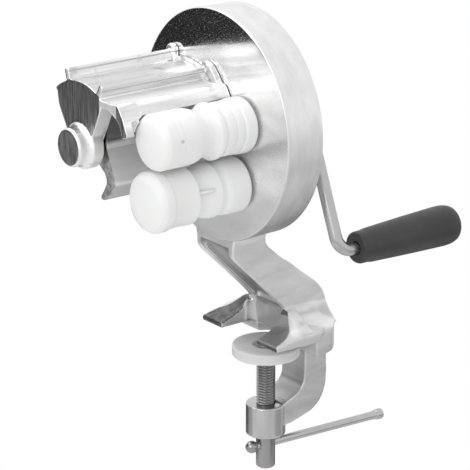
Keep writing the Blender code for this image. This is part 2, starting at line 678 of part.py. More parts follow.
def rear_cover(front):
    """The plate that closes the case, with hubs for the drive and cutter shafts."""
    radius = CASE_INNER + COVER_LEDGE - GAP
    cover = rod("rear_cover", radius, -CASE_DEPTH, -COVER_FRONT, cast_aluminium(), front, CASE_SIDES)
    join(cover, rod("drive_hub", COVER_HUB_RADIUS, -COVER_HUB_BACK, -COVER_FRONT - COVER_THICKNESS / 2,
                    cast_aluminium(), front, places=(DRIVE_PLACE,)))
    join(cover, rod("rotor_hub", ROTOR_HUB_RADIUS, -CASE_DEPTH - ROTOR_HUB_LENGTH,
                    -COVER_FRONT - COVER_THICKNESS / 2, cast_aluminium(), front, places=(ROTOR_PLACE,)))
    cut(cover, rod("drive_seat", DRIVE_SHAFT_RADIUS + BUSH_WALL + 2 * GAP, -COVER_HUB_BACK - OVERRUN,
                   -COVER_FRONT + OVERRUN, bronze(), front, places=(DRIVE_PLACE,)))
    cut(cover, rod("rotor_seat", ROTOR_SHAFT_RADIUS + BUSH_WALL + 2 * GAP,
                   -CASE_DEPTH - ROTOR_HUB_LENGTH / 2, -COVER_FRONT + OVERRUN,
                   bronze(), front, places=(ROTOR_PLACE,)))
    screw_places = places_on((0, 0), COVER_SCREW_CIRCLE, COVER_SCREW_ANGLES)
    return cut(cover, rod("cover_holes", SCREW_RADIUS + GAP, -CASE_DEPTH - OVERRUN, -COVER_FRONT + OVERRUN,
                          steel(), front, SCREW_SIDES, screw_places))


def fin_points(angle):
    """One upright fin on the hood, from its right root to its left root."""
    along = polar(1, angle)
    across = Vector((along.y, -along.x)) * FIN_HALF_WIDTH
    root = along * (HOOD_OUTER - FIN_ROUND / 2)
    top = along * (HOOD_OUTER + FIN_HEIGHT)
    shoulder = along * (HOOD_OUTER + FIN_HEIGHT - FIN_ROUND)
    return [root - across, shoulder - across, top - across / 2, top + across / 2, shoulder + across, root + across]


def hood_shell_outline():
    """The shell over the cutter with its two fins and the feed skirt."""
    spread = math.asin(FIN_HALF_WIDTH / HOOD_OUTER)
    left, right = FIN_ANGLES
    outline = arc(HOOD_OUTER, HOOD_END_ANGLE, left + spread, 5)[:-1]
    outline += fin_points(left)
    outline += arc(HOOD_OUTER, left - spread, right + spread, 8)[1:-1]
    outline += fin_points(right)
    outline += scaled(SKIRT_OUTER_SHARES, HOOD_OUTER)
    outline += scaled(SKIRT_INNER_SHARES, HOOD_OUTER)
    outline += arc(HOOD_INNER, HOOD_START_ANGLE, HOOD_END_ANGLE, 14)
    return outline


def fan_outline():
    """The front wall between the shell and the front boss."""
    middle = (HOOD_INNER + HOOD_OUTER) / 2
    return arc(middle, FAN_END_ANGLE, FAN_START_ANGLE, 10) + scaled(FAN_SHARES, HOOD_OUTER)


def horn_outline():
    """The lip that hangs from the skirt between the cutter and the upper roller."""
    drive = DRIVE_PLACE - ROTOR_PLACE
    roller_side = arc(UPPER_RADIUS + HORN_CLEARANCE, HORN_TOP_ANGLE, HORN_TIP_ANGLE, 4)
    outline = scaled(HORN_ROOT_SHARES, HOOD_OUTER)
    outline += [drive + point for point in roller_side]
    return outline + arc(CUTTER_TIP + HORN_CLEARANCE, HORN_LOW_ANGLE, HORN_HIGH_ANGLE, 3)


def forming_hood(front):
    """The casting over the cutter: shell, fins, horn, front wall, boss, leg and screw lugs."""
    rotor = axis_frame("hood_frame", (*ROTOR_PLACE, 0), parent=front)
    hood = prism("forming_hood", [hood_shell_outline()], GAP, HOOD_LENGTH, cast_aluminium(), rotor)
    join(hood, prism("hood_horn", [horn_outline()], GAP, HOOD_BOSS_BACK, cast_aluminium(), rotor))
    join(hood, prism("hood_fan", [fan_outline()], HOOD_WALL_BACK, HOOD_LENGTH, cast_aluminium(), rotor))
    join(hood, prism("hood_leg", [scaled(LEG_SHARES, HOOD_OUTER)], HOOD_WALL_BACK, HOOD_LENGTH,
                     cast_aluminium(), rotor))
    nose = HOOD_LENGTH + HOOD_BOSS_LENGTH
    profile = ((0, HOOD_BOSS_BACK), (HOOD_BOSS_RADIUS, HOOD_BOSS_BACK), (HOOD_BOSS_RADIUS, nose - HOOD_BOSS_EDGE),
               (HOOD_BOSS_RADIUS - HOOD_BOSS_EDGE, nose), (0, nose))
    join(hood, turned("hood_boss", profile, cast_aluminium(), rotor, ROLLER_SIDES))
    lugs = places_on((0, 0), HOOD_OUTER + LUG_OFFSET, HOOD_SCREW_ANGLES)
    join(hood, rod("hood_lugs", LUG_RADIUS, GAP, LUG_LENGTH, cast_aluminium(), rotor, BORE_SIDES, lugs))
    cut(hood, rod("hood_tappings", SCREW_RADIUS + GAP, -OVERRUN, HOOD_SCREW_REACH + GAP,
                  steel(), rotor, SCREW_SIDES, lugs))
    return cut(hood, rod("hood_bush_seat", ROTOR_SHAFT_RADIUS + BUSH_WALL + 2 * GAP, HOOD_BOSS_BACK - OVERRUN,
                         nose - HOOD_BOSS_END + GAP, bronze(), rotor))


def bush(name, shaft_radius, back, ahead, place, front):
    """A bronze bearing sleeve in its seat."""
    guide = axis_frame(name + "_axis", (*place, 0), parent=front)
    return ring(name, shaft_radius + GAP, shaft_radius + GAP + BUSH_WALL, back, ahead, bronze(), guide)


def bushes(front):
    back = -FACE_THICKNESS
    bush("drive_face_bush", DRIVE_SHAFT_RADIUS, back, 0, DRIVE_PLACE, front)
    bush("lower_roller_bush", LOWER_SHAFT_RADIUS, back, 0, LOWER_PLACE, front)
    bush("cutter_face_bush", ROTOR_SHAFT_RADIUS, back, 0, ROTOR_PLACE, front)
    bush("drive_rear_bush", DRIVE_SHAFT_RADIUS, -COVER_HUB_BACK, -COVER_FRONT, DRIVE_PLACE, front)
    bush("cutter_rear_bush", ROTOR_SHAFT_RADIUS, -CASE_DEPTH - ROTOR_HUB_LENGTH / 2 + GAP, -COVER_FRONT,
         ROTOR_PLACE, front)
    end = HOOD_LENGTH + HOOD_BOSS_LENGTH - HOOD_BOSS_END
    bush("cutter_front_bush", ROTOR_SHAFT_RADIUS, HOOD_BOSS_BACK, end, ROTOR_PLACE, front)


def roller(name, shares, radius, shaft_radius, pin_angle, pin_height, parent):
    """A white roller on its shaft, held by a cross pin."""
    profile = spun_shares(shares, radius, ROLLER_LENGTH, ROLLER_END)
    made = turned(name, profile + [(0, ROLLER_STANDOFF)], white_plastic(), parent, ROLLER_SIDES)
    cut(made, rod(name + "_bore", shaft_radius + GAP, ROLLER_STANDOFF - OVERRUN,
                  SHAFT_SEAT_LENGTH + 2 * GAP, steel(), parent))
    pin_top = radius - PIN_RECESS
    cut(made, cross_pin(name + "_pin_hole", pin_angle, pin_height, pin_top + OVERRUN, -pin_top + OVERRUN,
                        parent, GAP))
    cross_pin(name + "_pin", pin_angle, pin_height, pin_top, -pin_top + OVERRUN + GAP, parent)
    return made


def groove_ribs(parent):
    """Short ribs across the lower roller's groove."""
    outlines = []
    for number in range(RIB_COUNT):
        turn = Matrix.Rotation(RIB_ANGLE + math.tau * number / RIB_COUNT, 2)
        low = LOWER_RADIUS * RIB_LOW_SHARE
        high = LOWER_RADIUS * RIB_HIGH_SHARE
        half = RIB_WIDTH / 2
        corners = ((low, -half), (high, -half), (high, half), (low, half))
        outlines.append([turn @ Vector(corner) for corner in corners])
    return prism("groove_ribs", outlines, ROLLER_END - ROLLER_LENGTH * RIB_BACK_SHARE,
                 ROLLER_END - ROLLER_LENGTH * RIB_FRONT_SHARE, white_plastic(), parent)


def shaft(name, radius, back, ahead, parent, *tools):
    """A steel shaft with a small lead at its front end."""
    lead = radius - CASE_EDGE
    profile = ((0, back), (radius, back), (radius, ahead - CASE_EDGE), (lead, ahead), (0, ahead))
    return cut(turned(name, profile, steel(), parent), *tools)


def shaft_pin_hole(name, angle, height, radius, parent):
    return cross_pin(name, angle, height, radius + OVERRUN, -radius - OVERRUN, parent, GAP)


def drive_body(front):
    """Everything that turns with the crank: shaft, two gears, upper roller."""
    axis = axis_frame("drive_axis", (*DRIVE_PLACE, 0), parent=front)
    key_front = -FACE_THICKNESS - GEAR_SIDE_GAP - KEY_INSET
    key_back = -MAIN_GEAR_BACK + KEY_INSET
    slot = keyway("drive_key_slot", DRIVE_SHAFT_RADIUS, key_front, key_back, axis, GAP)
    socket = rod("crank_socket", ROD_RADIUS + GAP, -SHAFT_BACK - OVERRUN, -SHAFT_BACK + ROD_SEAT + GAP,
                 steel(), axis)
    pin_hole = shaft_pin_hole("drive_pin_hole", UPPER_PIN_ANGLE, UPPER_PIN_HEIGHT, DRIVE_SHAFT_RADIUS, axis)
    shaft("drive_shaft", DRIVE_SHAFT_RADIUS, -SHAFT_BACK, SHAFT_SEAT_LENGTH, axis, slot, socket, pin_hole)
    keyway("drive_key", DRIVE_SHAFT_RADIUS, key_front, key_back, axis)
    gear("upper_roller_gear", ROLLER_GEAR_TEETH, LOWER_ANGLE, DRIVE_SHAFT_RADIUS,
         -FACE_THICKNESS - GEAR_SIDE_GAP, ROLLER_GEAR_WIDTH, axis)
    gear("main_gear", MAIN_GEAR_TEETH, ROTOR_ANGLE, DRIVE_SHAFT_RADIUS, -MAIN_GEAR_FRONT, MAIN_GEAR_WIDTH, axis)
    spacer_bore = DRIVE_SHAFT_RADIUS + KEY_HEIGHT * (1 - KEY_DEPTH_SHARE) + 2 * GAP
    ring("gear_spacer", spacer_bore, spacer_bore + SPACER_WALL, -MAIN_GEAR_FRONT + GAP,
         -ROLLER_GEAR_BACK - GAP, steel(), axis)
    roller("upper_roller", UPPER_ROLLER_SHARES, UPPER_RADIUS, DRIVE_SHAFT_RADIUS,
           UPPER_PIN_ANGLE, UPPER_PIN_HEIGHT, axis)
    return axis


def lower_body(front):
    """The lower roller with its short shaft and gear."""
    axis = axis_frame("lower_axis", (*LOWER_PLACE, 0), parent=front)
    gear_front = -FACE_THICKNESS - GEAR_SIDE_GAP
    key_front = gear_front - KEY_INSET
    key_back = -ROLLER_GEAR_BACK + KEY_INSET
    slot = keyway("lower_key_slot", LOWER_SHAFT_RADIUS, key_front, key_back, axis, GAP)
    clip_front = -ROLLER_GEAR_BACK - GAP
    groove = ring("lower_clip_groove", LOWER_SHAFT_RADIUS - CLIP_GROOVE, LOWER_SHAFT_RADIUS + OVERRUN,
                  clip_front - CLIP_THICKNESS - GAP, clip_front + GAP, steel(), axis)
    pin_hole = shaft_pin_hole("lower_pin_hole", LOWER_PIN_ANGLE, LOWER_PIN_HEIGHT, LOWER_SHAFT_RADIUS, axis)
    back = clip_front - CLIP_THICKNESS - 2 * GAP
    shaft("lower_shaft", LOWER_SHAFT_RADIUS, back, SHAFT_SEAT_LENGTH, axis, slot, groove, pin_hole)
    keyway("lower_key", LOWER_SHAFT_RADIUS, key_front, key_back, axis)
    gap_angle = LOWER_ANGLE + math.pi + math.pi / ROLLER_GEAR_TEETH
    gear("lower_roller_gear", ROLLER_GEAR_TEETH, gap_angle, LOWER_SHAFT_RADIUS, gear_front,
         ROLLER_GEAR_WIDTH, axis)
    clip_bore = LOWER_SHAFT_RADIUS - CLIP_GROOVE + GAP
    ring("lower_clip", clip_bore, clip_bore + CLIP_WALL, clip_front - CLIP_THICKNESS, clip_front, steel(), axis)
    made = roller("lower_roller", LOWER_ROLLER_SHARES, LOWER_RADIUS, LOWER_SHAFT_RADIUS,
                  LOWER_PIN_ANGLE, LOWER_PIN_HEIGHT, axis)
    join(made, groove_ribs(axis))
    return axis


def cutter_outlines():
    """Three hooked blades round the hub."""
    outlines = []
    for number in range(BLADE_COUNT):
        turn = Matrix.Rotation(math.tau * number / BLADE_COUNT, 2)
        outlines.append([turn @ point for point in scaled(BLADE_SHARES, CUTTER_TIP)])
    return outlines


def cutter_body(front):
    """The cutter with its shaft and gear."""
    axis = axis_frame("cutter_axis", (*ROTOR_PLACE, 0), parent=front)
    cutter = rod("cutter", CUTTER_HUB_RADIUS, ROLLER_STANDOFF, CUTTER_END, cast_aluminium(), axis)
    for number, outline in enumerate(cutter_outlines()):
        join(cutter, prism("blade_" + str(number), [outline], ROLLER_STANDOFF, CUTTER_END, cast_aluminium(), axis))
    pin_top = CUTTER_HUB_RADIUS - PIN_RECESS
    cut(cutter, rod("cutter_bore", ROTOR_SHAFT_RADIUS + GAP, -OVERRUN, CUTTER_END + OVERRUN, steel(), axis))
    cut(cutter, cross_pin("cutter_pin_hole", CUTTER_PIN_ANGLE, CUTTER_PIN_HEIGHT, pin_top + OVERRUN, -pin_top,
                          axis, GAP))
    cross_pin("cutter_pin", CUTTER_PIN_ANGLE, CUTTER_PIN_HEIGHT, pin_top, -pin_top + GAP, axis)
    key_front = -MAIN_GEAR_FRONT - KEY_INSET
    key_back = -MAIN_GEAR_BACK + KEY_INSET
    slot = keyway("cutter_key_slot", ROTOR_SHAFT_RADIUS, key_front, key_back, axis, GAP)
    pin_hole = shaft_pin_hole("cutter_shaft_pin_hole", CUTTER_PIN_ANGLE, CUTTER_PIN_HEIGHT,
                              ROTOR_SHAFT_RADIUS, axis)
    back = -CASE_DEPTH - ROTOR_HUB_LENGTH / 2 + 2 * GAP
    end = HOOD_LENGTH + HOOD_BOSS_LENGTH - HOOD_BOSS_END
    shaft("cutter_shaft", ROTOR_SHAFT_RADIUS, back, end, axis, slot, pin_hole)
    keyway("cutter_key", ROTOR_SHAFT_RADIUS, key_front, key_back, axis)
    first_tooth = ROTOR_ANGLE + math.pi + math.pi / ROTOR_GEAR_TEETH
    gear("cutter_gear", ROTOR_GEAR_TEETH, first_tooth, ROTOR_SHAFT_RADIUS, -MAIN_GEAR_FRONT,
         MAIN_GEAR_WIDTH, axis)
    ring("cutter_spacer", ROTOR_SHAFT_RADIUS + GAP, ROTOR_SHAFT_RADIUS + GAP + SPACER_WALL,
         -MAIN_GEAR_FRONT + GAP, -FACE_THICKNESS - GAP, steel(), axis)
    return axis


def crank_path():
    """Centre line of the bent rod, in the drive axis's frame."""
    start = Vector((0, 0, -SHAFT_BACK + ROD_SEAT))
    first = Vector((0, 0, -CRANK_BACK))
    second = first + CRANK_ARM * Vector((math.cos(CRANK_ANGLE), math.sin(CRANK_ANGLE), 0))
    end = second + Vector((0, 0, -GRIP_START - GRIP_LENGTH + GRIP_NUT_DEPTH + 2 * GAP))
    points = [start]
    for before, corner, after in ((start, first, second), (first, second, end)):
        arrive = (corner - before).normalized()
        leave = (after - corner).normalized()
        centre = corner - arrive * CRANK_BEND + leave * CRANK_BEND
        for step in range(BEND_STEPS + 1):
            turn = math.pi / 2 * step / BEND_STEPS
            points.append(centre - leave * CRANK_BEND * math.cos(turn) + arrive * CRANK_BEND * math.sin(turn))
    points.append(end)
    return points


def crank_rod(axis):
    """The round steel rod, bent twice, that is both crank arm and grip spindle."""
    line = bpy.data.curves.new("crank_rod", "CURVE")
    line.dimensions = "3D"
    line.bevel_depth = ROD_RADIUS
    line.bevel_resolution = 3
    line.use_fill_caps = True
    spline = line.splines.new("POLY")
    points = crank_path()
    spline.points.add(len(points) - 1)
    for slot, point in zip(spline.points, points):
        slot.co = point.to_4d()
    line.materials.append(steel())
    made = bpy.data.objects.new("crank_rod", line)
    made.parent = axis
    bpy.context.scene.collection.objects.link(made)
    return made


def crank_nut(axis):
    """The hexagon nut that locks the rod in the end of the shaft."""
    corners = arc(NUT_ACROSS / math.sqrt(3), 0, math.tau, 6)[:-1]
    top = -SHAFT_BACK - NUT_SET
    made = prism("crank_nut", [corners], top - NUT_THICKNESS, top, steel(), axis)
    return cut(made, rod("crank_nut_bore", ROD_RADIUS + GAP, top - NUT_THICKNESS - OVERRUN, top + OVERRUN,
                         steel(), axis))


def grip_body(axis):
    """The black grip that spins on the rod's end, and the nut that keeps it there."""
    place = polar(CRANK_ARM, CRANK_ANGLE)
    spindle = axis_frame("grip_axis", (*place, 0), parent=axis)
    start = -CRANK_BACK - GRIP_START
    end = start - GRIP_LENGTH
    profile = [(GRIP_RADIUS * radius, start - GRIP_LENGTH * along) for radius, along in GRIP_SHARES]
    made = turned("handle_grip", [(0, start)] + profile + [(0, end)], black_plastic(), spindle, ROUND_SIDES + 8)
    cut(made, rod("grip_bore", ROD_RADIUS + GAP, end - OVERRUN, start + OVERRUN, steel(), spindle))
    cut(made, rod("grip_pocket", GRIP_NUT_RADIUS + GAP, end - OVERRUN, end + GRIP_NUT_DEPTH + GAP, steel(), spindle))
    tail = end + GRIP_NUT_DEPTH
    nut = ((0, end + GAP), (GRIP_NUT_RADIUS - CASE_EDGE, end + GAP), (GRIP_NUT_RADIUS, end + CASE_EDGE),
           (GRIP_NUT_RADIUS, tail), (0, tail))
    return turned("grip_nut", nut, steel(), spindle)


def half_round(radius, middle):
    """Turned profile of a ball whose centre is at the given height."""
    inner = [polar(radius, math.pi * step / BALL_STEPS - math.pi / 2) for step in range(1, BALL_STEPS)]
    return [(0, middle - radius), *((point.x, middle + point.y) for point in inner), (0, middle + radius)]


def clamp_pieces(clamp):
    """Pad, screw and retaining clip."""
    neck = NECK_RADIUS + GAP
    seat = PAD_TOP - PAD_SEAT_DEPTH
    pad = ((neck, PAD_BOTTOM), (PAD_RADIUS - PAD_EDGE, PAD_BOTTOM), (PAD_RADIUS, PAD_BOTTOM + PAD_EDGE),
           (PAD_RADIUS, PAD_TOP - PAD_EDGE), (PAD_RADIUS - PAD_EDGE, PAD_TOP), (PAD_SEAT_RADIUS, PAD_TOP),
           (PAD_SEAT_RADIUS, seat), (neck, seat))
    turned("clamp_pad", pad, white_plastic(), clamp, ROLLER_SIDES)
    clip_low = seat + GAP
    clip_top = clip_low + PAD_CLIP_THICKNESS
    groove = NECK_RADIUS - CLIP_GROOVE
    ring("pad_clip", groove + GAP, groove + PAD_CLIP_WALL, clip_low, clip_top, steel(), clamp)
    shoulder = PAD_BOTTOM - GAP
    profile = ((0, SCREW_BOTTOM), (CLAMP_SCREW_RADIUS - SCREW_EDGE, SCREW_BOTTOM),
               (CLAMP_SCREW_RADIUS, SCREW_BOTTOM + SCREW_EDGE), (CLAMP_SCREW_RADIUS, shoulder),
               (NECK_RADIUS, shoulder), (NECK_RADIUS, clip_low - GAP), (groove, clip_low - GAP),
               (groove, clip_top + GAP), (NECK_RADIUS, clip_top + GAP), (NECK_RADIUS, PAD_TOP - SCREW_EDGE),
               (0, PAD_TOP - SCREW_EDGE))
    bar = axis_frame("tommy_axis", (0, 0, TOMMY_HEIGHT), (-math.pi / 2, 0, TOMMY_ANGLE), clamp)
    cut(turned("clamp_screw", profile, steel(), clamp),
        rod("tommy_hole", TOMMY_RADIUS + GAP, -CLAMP_BOSS_RADIUS, CLAMP_BOSS_RADIUS, steel(), bar))
    return bar


def tommy_pieces(bar):
    """The sliding bar that turns the screw, with a ball at one end and a swelling at the other."""
    far = TOMMY_LENGTH - TOMMY_BALL_SET
    swell = far - TOMMY_SWAGE_LENGTH
    near = -TOMMY_BALL_SET
    stick = ((0, near), (TOMMY_RADIUS, near), (TOMMY_RADIUS, swell - TOMMY_RADIUS), (TOMMY_SWAGE_RADIUS, swell),
             (TOMMY_SWAGE_RADIUS, far - SCREW_EDGE), (TOMMY_SWAGE_RADIUS - SCREW_EDGE, far), (0, far))
    turned("tommy_bar", stick, steel(), bar, BORE_SIDES)
    knob = turned("tommy_ball", half_round(TOMMY_BALL_RADIUS, near), steel(), bar, BORE_SIDES)
    cut(knob, rod("ball_socket", TOMMY_RADIUS + GAP, near - GAP, near + OVERRUN, steel(), bar))


def machine():
    clear_scene()
    front = axis_frame("case_front", (0, -CASE_FORWARD, CASE_HEIGHT), FRONT_TURN)
    side_frame = axis_frame("side_view", (0, 0, 0), SIDE_TURN)
    clamp = axis_frame("clamp_axis", (0, -SCREW_AXIS_FORWARD, 0))
    bpy.context.view_layer.update()
    body_casting(front, side_frame, clamp)
    rear_cover(front)
    screw_places = places_on((0, 0), COVER_SCREW_CIRCLE, COVER_SCREW_ANGLES)
    screw_set("cover_screw", -CASE_DEPTH, -COVER_FRONT + SCREW_REACH, screw_places, front)
    forming_hood(front)
    screw_set("hood_screw", -FACE_THICKNESS, HOOD_SCREW_REACH, hood_screw_places(), front)
    bushes(front)
    drive_axis = drive_body(front)
    crank_rod(drive_axis)
    crank_nut(drive_axis)
    grip_body(drive_axis)
    lower_body(front)
    cutter_body(front)
    tommy_pieces(clamp_pieces(clamp))
    bpy.context.view_layer.update()


machine()
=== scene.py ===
"""Studio scene of a hand-cranked noodle press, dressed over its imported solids.

Tables are in millimetres and MM turns them into metres. The rollers' side faces -Y.
"""

import json
import math

import bmesh
import bpy
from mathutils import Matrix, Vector


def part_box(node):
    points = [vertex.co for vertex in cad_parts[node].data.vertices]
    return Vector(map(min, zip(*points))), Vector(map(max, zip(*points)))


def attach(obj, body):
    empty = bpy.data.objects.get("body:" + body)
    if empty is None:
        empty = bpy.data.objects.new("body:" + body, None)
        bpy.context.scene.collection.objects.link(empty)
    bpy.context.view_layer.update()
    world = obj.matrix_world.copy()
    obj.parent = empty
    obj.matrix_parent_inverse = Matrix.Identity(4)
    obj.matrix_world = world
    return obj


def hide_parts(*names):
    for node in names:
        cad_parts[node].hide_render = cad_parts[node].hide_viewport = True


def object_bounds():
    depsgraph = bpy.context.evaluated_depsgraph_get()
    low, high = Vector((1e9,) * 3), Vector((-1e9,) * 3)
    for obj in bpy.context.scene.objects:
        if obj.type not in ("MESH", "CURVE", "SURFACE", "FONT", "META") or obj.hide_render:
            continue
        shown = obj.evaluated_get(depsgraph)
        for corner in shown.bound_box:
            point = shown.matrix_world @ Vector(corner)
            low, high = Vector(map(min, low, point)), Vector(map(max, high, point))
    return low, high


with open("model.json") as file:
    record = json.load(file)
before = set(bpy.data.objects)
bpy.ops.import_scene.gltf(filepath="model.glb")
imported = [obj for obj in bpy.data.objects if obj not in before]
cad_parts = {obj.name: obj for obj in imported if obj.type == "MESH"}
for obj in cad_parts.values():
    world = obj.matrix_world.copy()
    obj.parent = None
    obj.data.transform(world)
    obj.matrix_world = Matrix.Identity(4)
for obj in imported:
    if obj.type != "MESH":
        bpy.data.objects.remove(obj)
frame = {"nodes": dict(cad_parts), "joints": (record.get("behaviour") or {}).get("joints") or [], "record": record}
cad_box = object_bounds()


# Camera. It stands on the crank's side of the rollers, a little above the case,
# and looks through a long lens.
camera = bpy.data.objects.new("camera", bpy.data.cameras.new("camera"))
camera_target = Vector((0.020, -0.050, 0.072))
camera.location = (1.0384, -0.8454, 0.5079)
camera.rotation_euler = (camera_target - camera.location).to_track_quat("-Z", "Y").to_euler()
camera.data.lens = 183.8
camera.data.sensor_width = 36
bpy.context.scene.collection.objects.link(camera)
bpy.context.scene.camera = camera
bpy.context.scene.view_settings.view_transform = "Standard"


# Floor and backdrop. The press hangs from a table in use, so the pale floor lies well below it,
# and the backdrop is the white that the camera and the polished metal both see.
FLOOR_DROP, FLOOR_HALF = 0.35, 6


def placed(name, form):
    """Turn a bmesh into an object of the scene."""
    mesh = bpy.data.meshes.new(name)
    form.to_mesh(mesh)
    form.free()
    made = bpy.data.objects.new(name, mesh)
    bpy.context.scene.collection.objects.link(made)
    return made


def shown_to(tree, rays, plain, shown, output):
    """Show one shader to the named kinds of ray, and a plain one to all others."""
    path = tree.nodes.new("ShaderNodeLightPath")
    seen = path.outputs[rays[0]]
    for ray in rays[1:]:
        either = tree.nodes.new("ShaderNodeMath")
        either.operation = "MAXIMUM"
        tree.links.new(seen, either.inputs[0])
        tree.links.new(path.outputs[ray], either.inputs[1])
        seen = either.outputs[0]
    mix = tree.nodes.new("ShaderNodeMixShader")
    tree.links.new(seen, mix.inputs[0])
    tree.links.new(plain.outputs[0], mix.inputs[1])
    tree.links.new(shown.outputs[0], mix.inputs[2])
    tree.links.new(mix.outputs[0], tree.nodes[output].inputs["Surface"])


floor_form = bmesh.new()
bmesh.ops.create_grid(floor_form, x_segments=1, y_segments=1, size=FLOOR_HALF)
bmesh.ops.translate(floor_form, verts=floor_form.verts, vec=(0, 0, cad_box[0].z - FLOOR_DROP))
floor = placed("floor", floor_form)
floor_paint = bpy.data.materials.new("white_floor")
floor_paint.use_nodes = True
floor_coat = floor_paint.node_tree.nodes["Principled BSDF"]
floor_coat.inputs["Base Color"].default_value = (0.86, 0.86, 0.86, 1)
floor_coat.inputs["Roughness"].default_value = 0.8
shown_to(floor_paint.node_tree, ("Is Camera Ray", "Is Transmission Ray"), floor_coat,
         floor_paint.node_tree.nodes.new("ShaderNodeEmission"), "Material Output")
floor.data.materials.append(floor_paint)

backdrop = bpy.data.worlds.new("white_backdrop")
backdrop.use_nodes = True
bpy.context.scene.world = backdrop
sky = backdrop.node_tree
white_sky, fill_sky = sky.nodes["Background"], sky.nodes.new("ShaderNodeBackground")
for light in (white_sky, fill_sky):
    light.inputs["Color"].default_value = (1, 1, 1, 1)
fill_sky.inputs["Strength"].default_value = 0.78
shown_to(sky, ("Is Camera Ray", "Is Glossy Ray", "Is Transmission Ray"), fill_sky, white_sky, "World Output")


# Softboxes and cards. Two large lamps light the press, and dark and grey cards that only the metal
# sees give the polished casting its dark patches and streaks.
def softbox(name, place, size, power):
    """A square lamp that faces the press."""
    lamp = bpy.data.lights.new(name, "AREA")
    lamp.size = size
    lamp.energy = power
    box = bpy.data.objects.new(name, lamp)
    box.location = place
    box.rotation_euler = (camera_target - box.location).to_track_quat("-Z", "Y").to_euler()
    bpy.context.scene.collection.objects.link(box)


def card(name, middle, width, height, shade):
    """An upright card that faces the press."""
    form = bmesh.new()
    bmesh.ops.create_grid(form, x_segments=1, y_segments=1, size=0.5)
    bmesh.ops.scale(form, vec=(width, height, 1), verts=form.verts)
    sheet = placed(name, form)
    sheet.location = middle
    sheet.rotation_euler = (camera_target - sheet.location).to_track_quat("Z", "Y").to_euler()
    sheet.visible_camera = False
    sheet.visible_diffuse = False
    sheet.visible_shadow = False
    paint = bpy.data.materials.new(name)
    paint.use_nodes = True
    coat = paint.node_tree.nodes["Principled BSDF"]
    coat.inputs["Base Color"].default_value = (shade, shade, shade, 1)
    coat.inputs["Roughness"].default_value = 1
    sheet.data.materials.append(paint)


softbox("overhead_softbox", (-0.35, -0.25, 1.15), 1.0, 5.6)
softbox("front_softbox", (0.55, -1.25, 0.75), 0.9, 4.2)
for name, middle, width, height, shade in (
        ("black_card", (-0.52, -0.45, 0.135), 0.60, 0.26, 0.01),
        ("grey_card_right", (0.60, 0.50, -0.37), 0.70, 0.28, 0.44),
        ("dark_card_left", (-0.64, -0.06, -0.26), 0.50, 0.22, 0.08),
        ("dark_card_back", (0.06, 0.85, -0.30), 0.30, 0.30, 0.40),
        ("grey_card_front", (-0.60, -0.52, -0.31), 0.50, 0.24, 0.45),
        ("grey_band", (-0.54, -0.467, -0.022), 0.60, 0.05, 0.03),
        ("grey_card_low", (-0.20, 0.35, -0.38), 0.80, 0.35, 0.25)):
    card(name, middle, width, height, shade)


# Gear case. A drum of polished cast aluminium, 135 mm across: its flat front is buffed to a mirror,
# its rim is brushed, and its back has a ledge for the cover plate.
MM = 0.001
places = {joint["name"]: Vector(joint["pos_m"]) for joint in frame["joints"] if "pos_m" in joint}
FACE = places["crank_turn"].y
FRONT = Vector((0, -1, 0))
CASE_MIDDLE = Vector((0, FACE, 0.1324))
CASE_DEPTH, CASE_EDGE = 25.3, 1.1
RIM_TAPER, RIM_BAND = 0.5, 4.5  # how much the rim narrows, and the straight band at its back
LEDGE_DEPTH, COVER_GAP = 5.0, 0.3
FLAT_FRONT = -0.97  # a face whose normal's Y is below this lies flat to the front
WELD = 0.00001


def half_width(node):
    """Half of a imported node's width, in millimetres."""
    low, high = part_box(node)
    return (high.x - low.x) / 2 / MM


def softened(points, radius, steps=4, closed=False):
    """Round each corner of an outline with a short arc."""
    corners = [Vector(point) for point in points]
    made = []
    for index, corner in enumerate(corners):
        if not closed and index in (0, len(corners) - 1):
            made.append(corner)
            continue
        before = corners[index - 1] - corner
        after = corners[(index + 1) % len(corners)] - corner
        reach = min(radius, before.length * 0.45, after.length * 0.45)
        start = corner + before.normalized() * reach
        end = corner + after.normalized() * reach
        for step in range(steps + 1):
            share = step / steps
            made.append(start * (1 - share) ** 2 + corner * 2 * share * (1 - share) + end * share ** 2)
    return made


def lathe(form, profile, centre, along, steps=96, closed=False):
    """Spin a profile of (radius, distance) in millimetres round an axis through centre."""
    side = along.orthogonal().normalized()
    points = [form.verts.new(centre + (side * radius + along * reach) * MM) for radius, reach in profile]
    pairs = list(zip(points, points[1:]))
    if closed:
        pairs.append((points[-1], points[0]))
    edges = [form.edges.new(pair) for pair in pairs]
    bmesh.ops.spin(form, geom=points + edges, cent=centre, axis=along, angle=math.tau, steps=steps,
                   use_merge=True)


def settle(name, form, body, finishes, node, crease=35):
    """Make a bmesh a piece that rides on a body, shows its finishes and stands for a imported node."""
    bmesh.ops.remove_doubles(form, verts=form.verts, dist=WELD)
    bmesh.ops.recalc_face_normals(form, faces=form.faces)
    piece = placed(name, form)
    piece.data.shade_smooth()
    piece.data.set_sharp_from_angle(angle=math.radians(crease))
    for finish in finishes:
        piece.data.materials.append(finish)
    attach(piece, body)
    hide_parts(node)
    return piece


def make_group(name, values, masks):
    """An effect group that reads a vector and named values: its tree, its input and its output."""
    tree = bpy.data.node_groups.new(name, "ShaderNodeTree")
    tree.interface.new_socket("Vector", in_out="INPUT", socket_type="NodeSocketVector")
    for label, value in values.items():
        tree.interface.new_socket(label, in_out="INPUT", socket_type="NodeSocketFloat").default_value = value
    for label in masks:
        tree.interface.new_socket(label, in_out="OUTPUT", socket_type="NodeSocketFloat")
    return tree, tree.nodes.new("NodeGroupInput"), tree.nodes.new("NodeGroupOutput")


def feed(tree, socket, value):
    """Link another node's output to a socket, or set a plain value there."""
    if isinstance(value, bpy.types.NodeSocket):
        tree.links.new(value, socket)
    else:
        socket.default_value = value


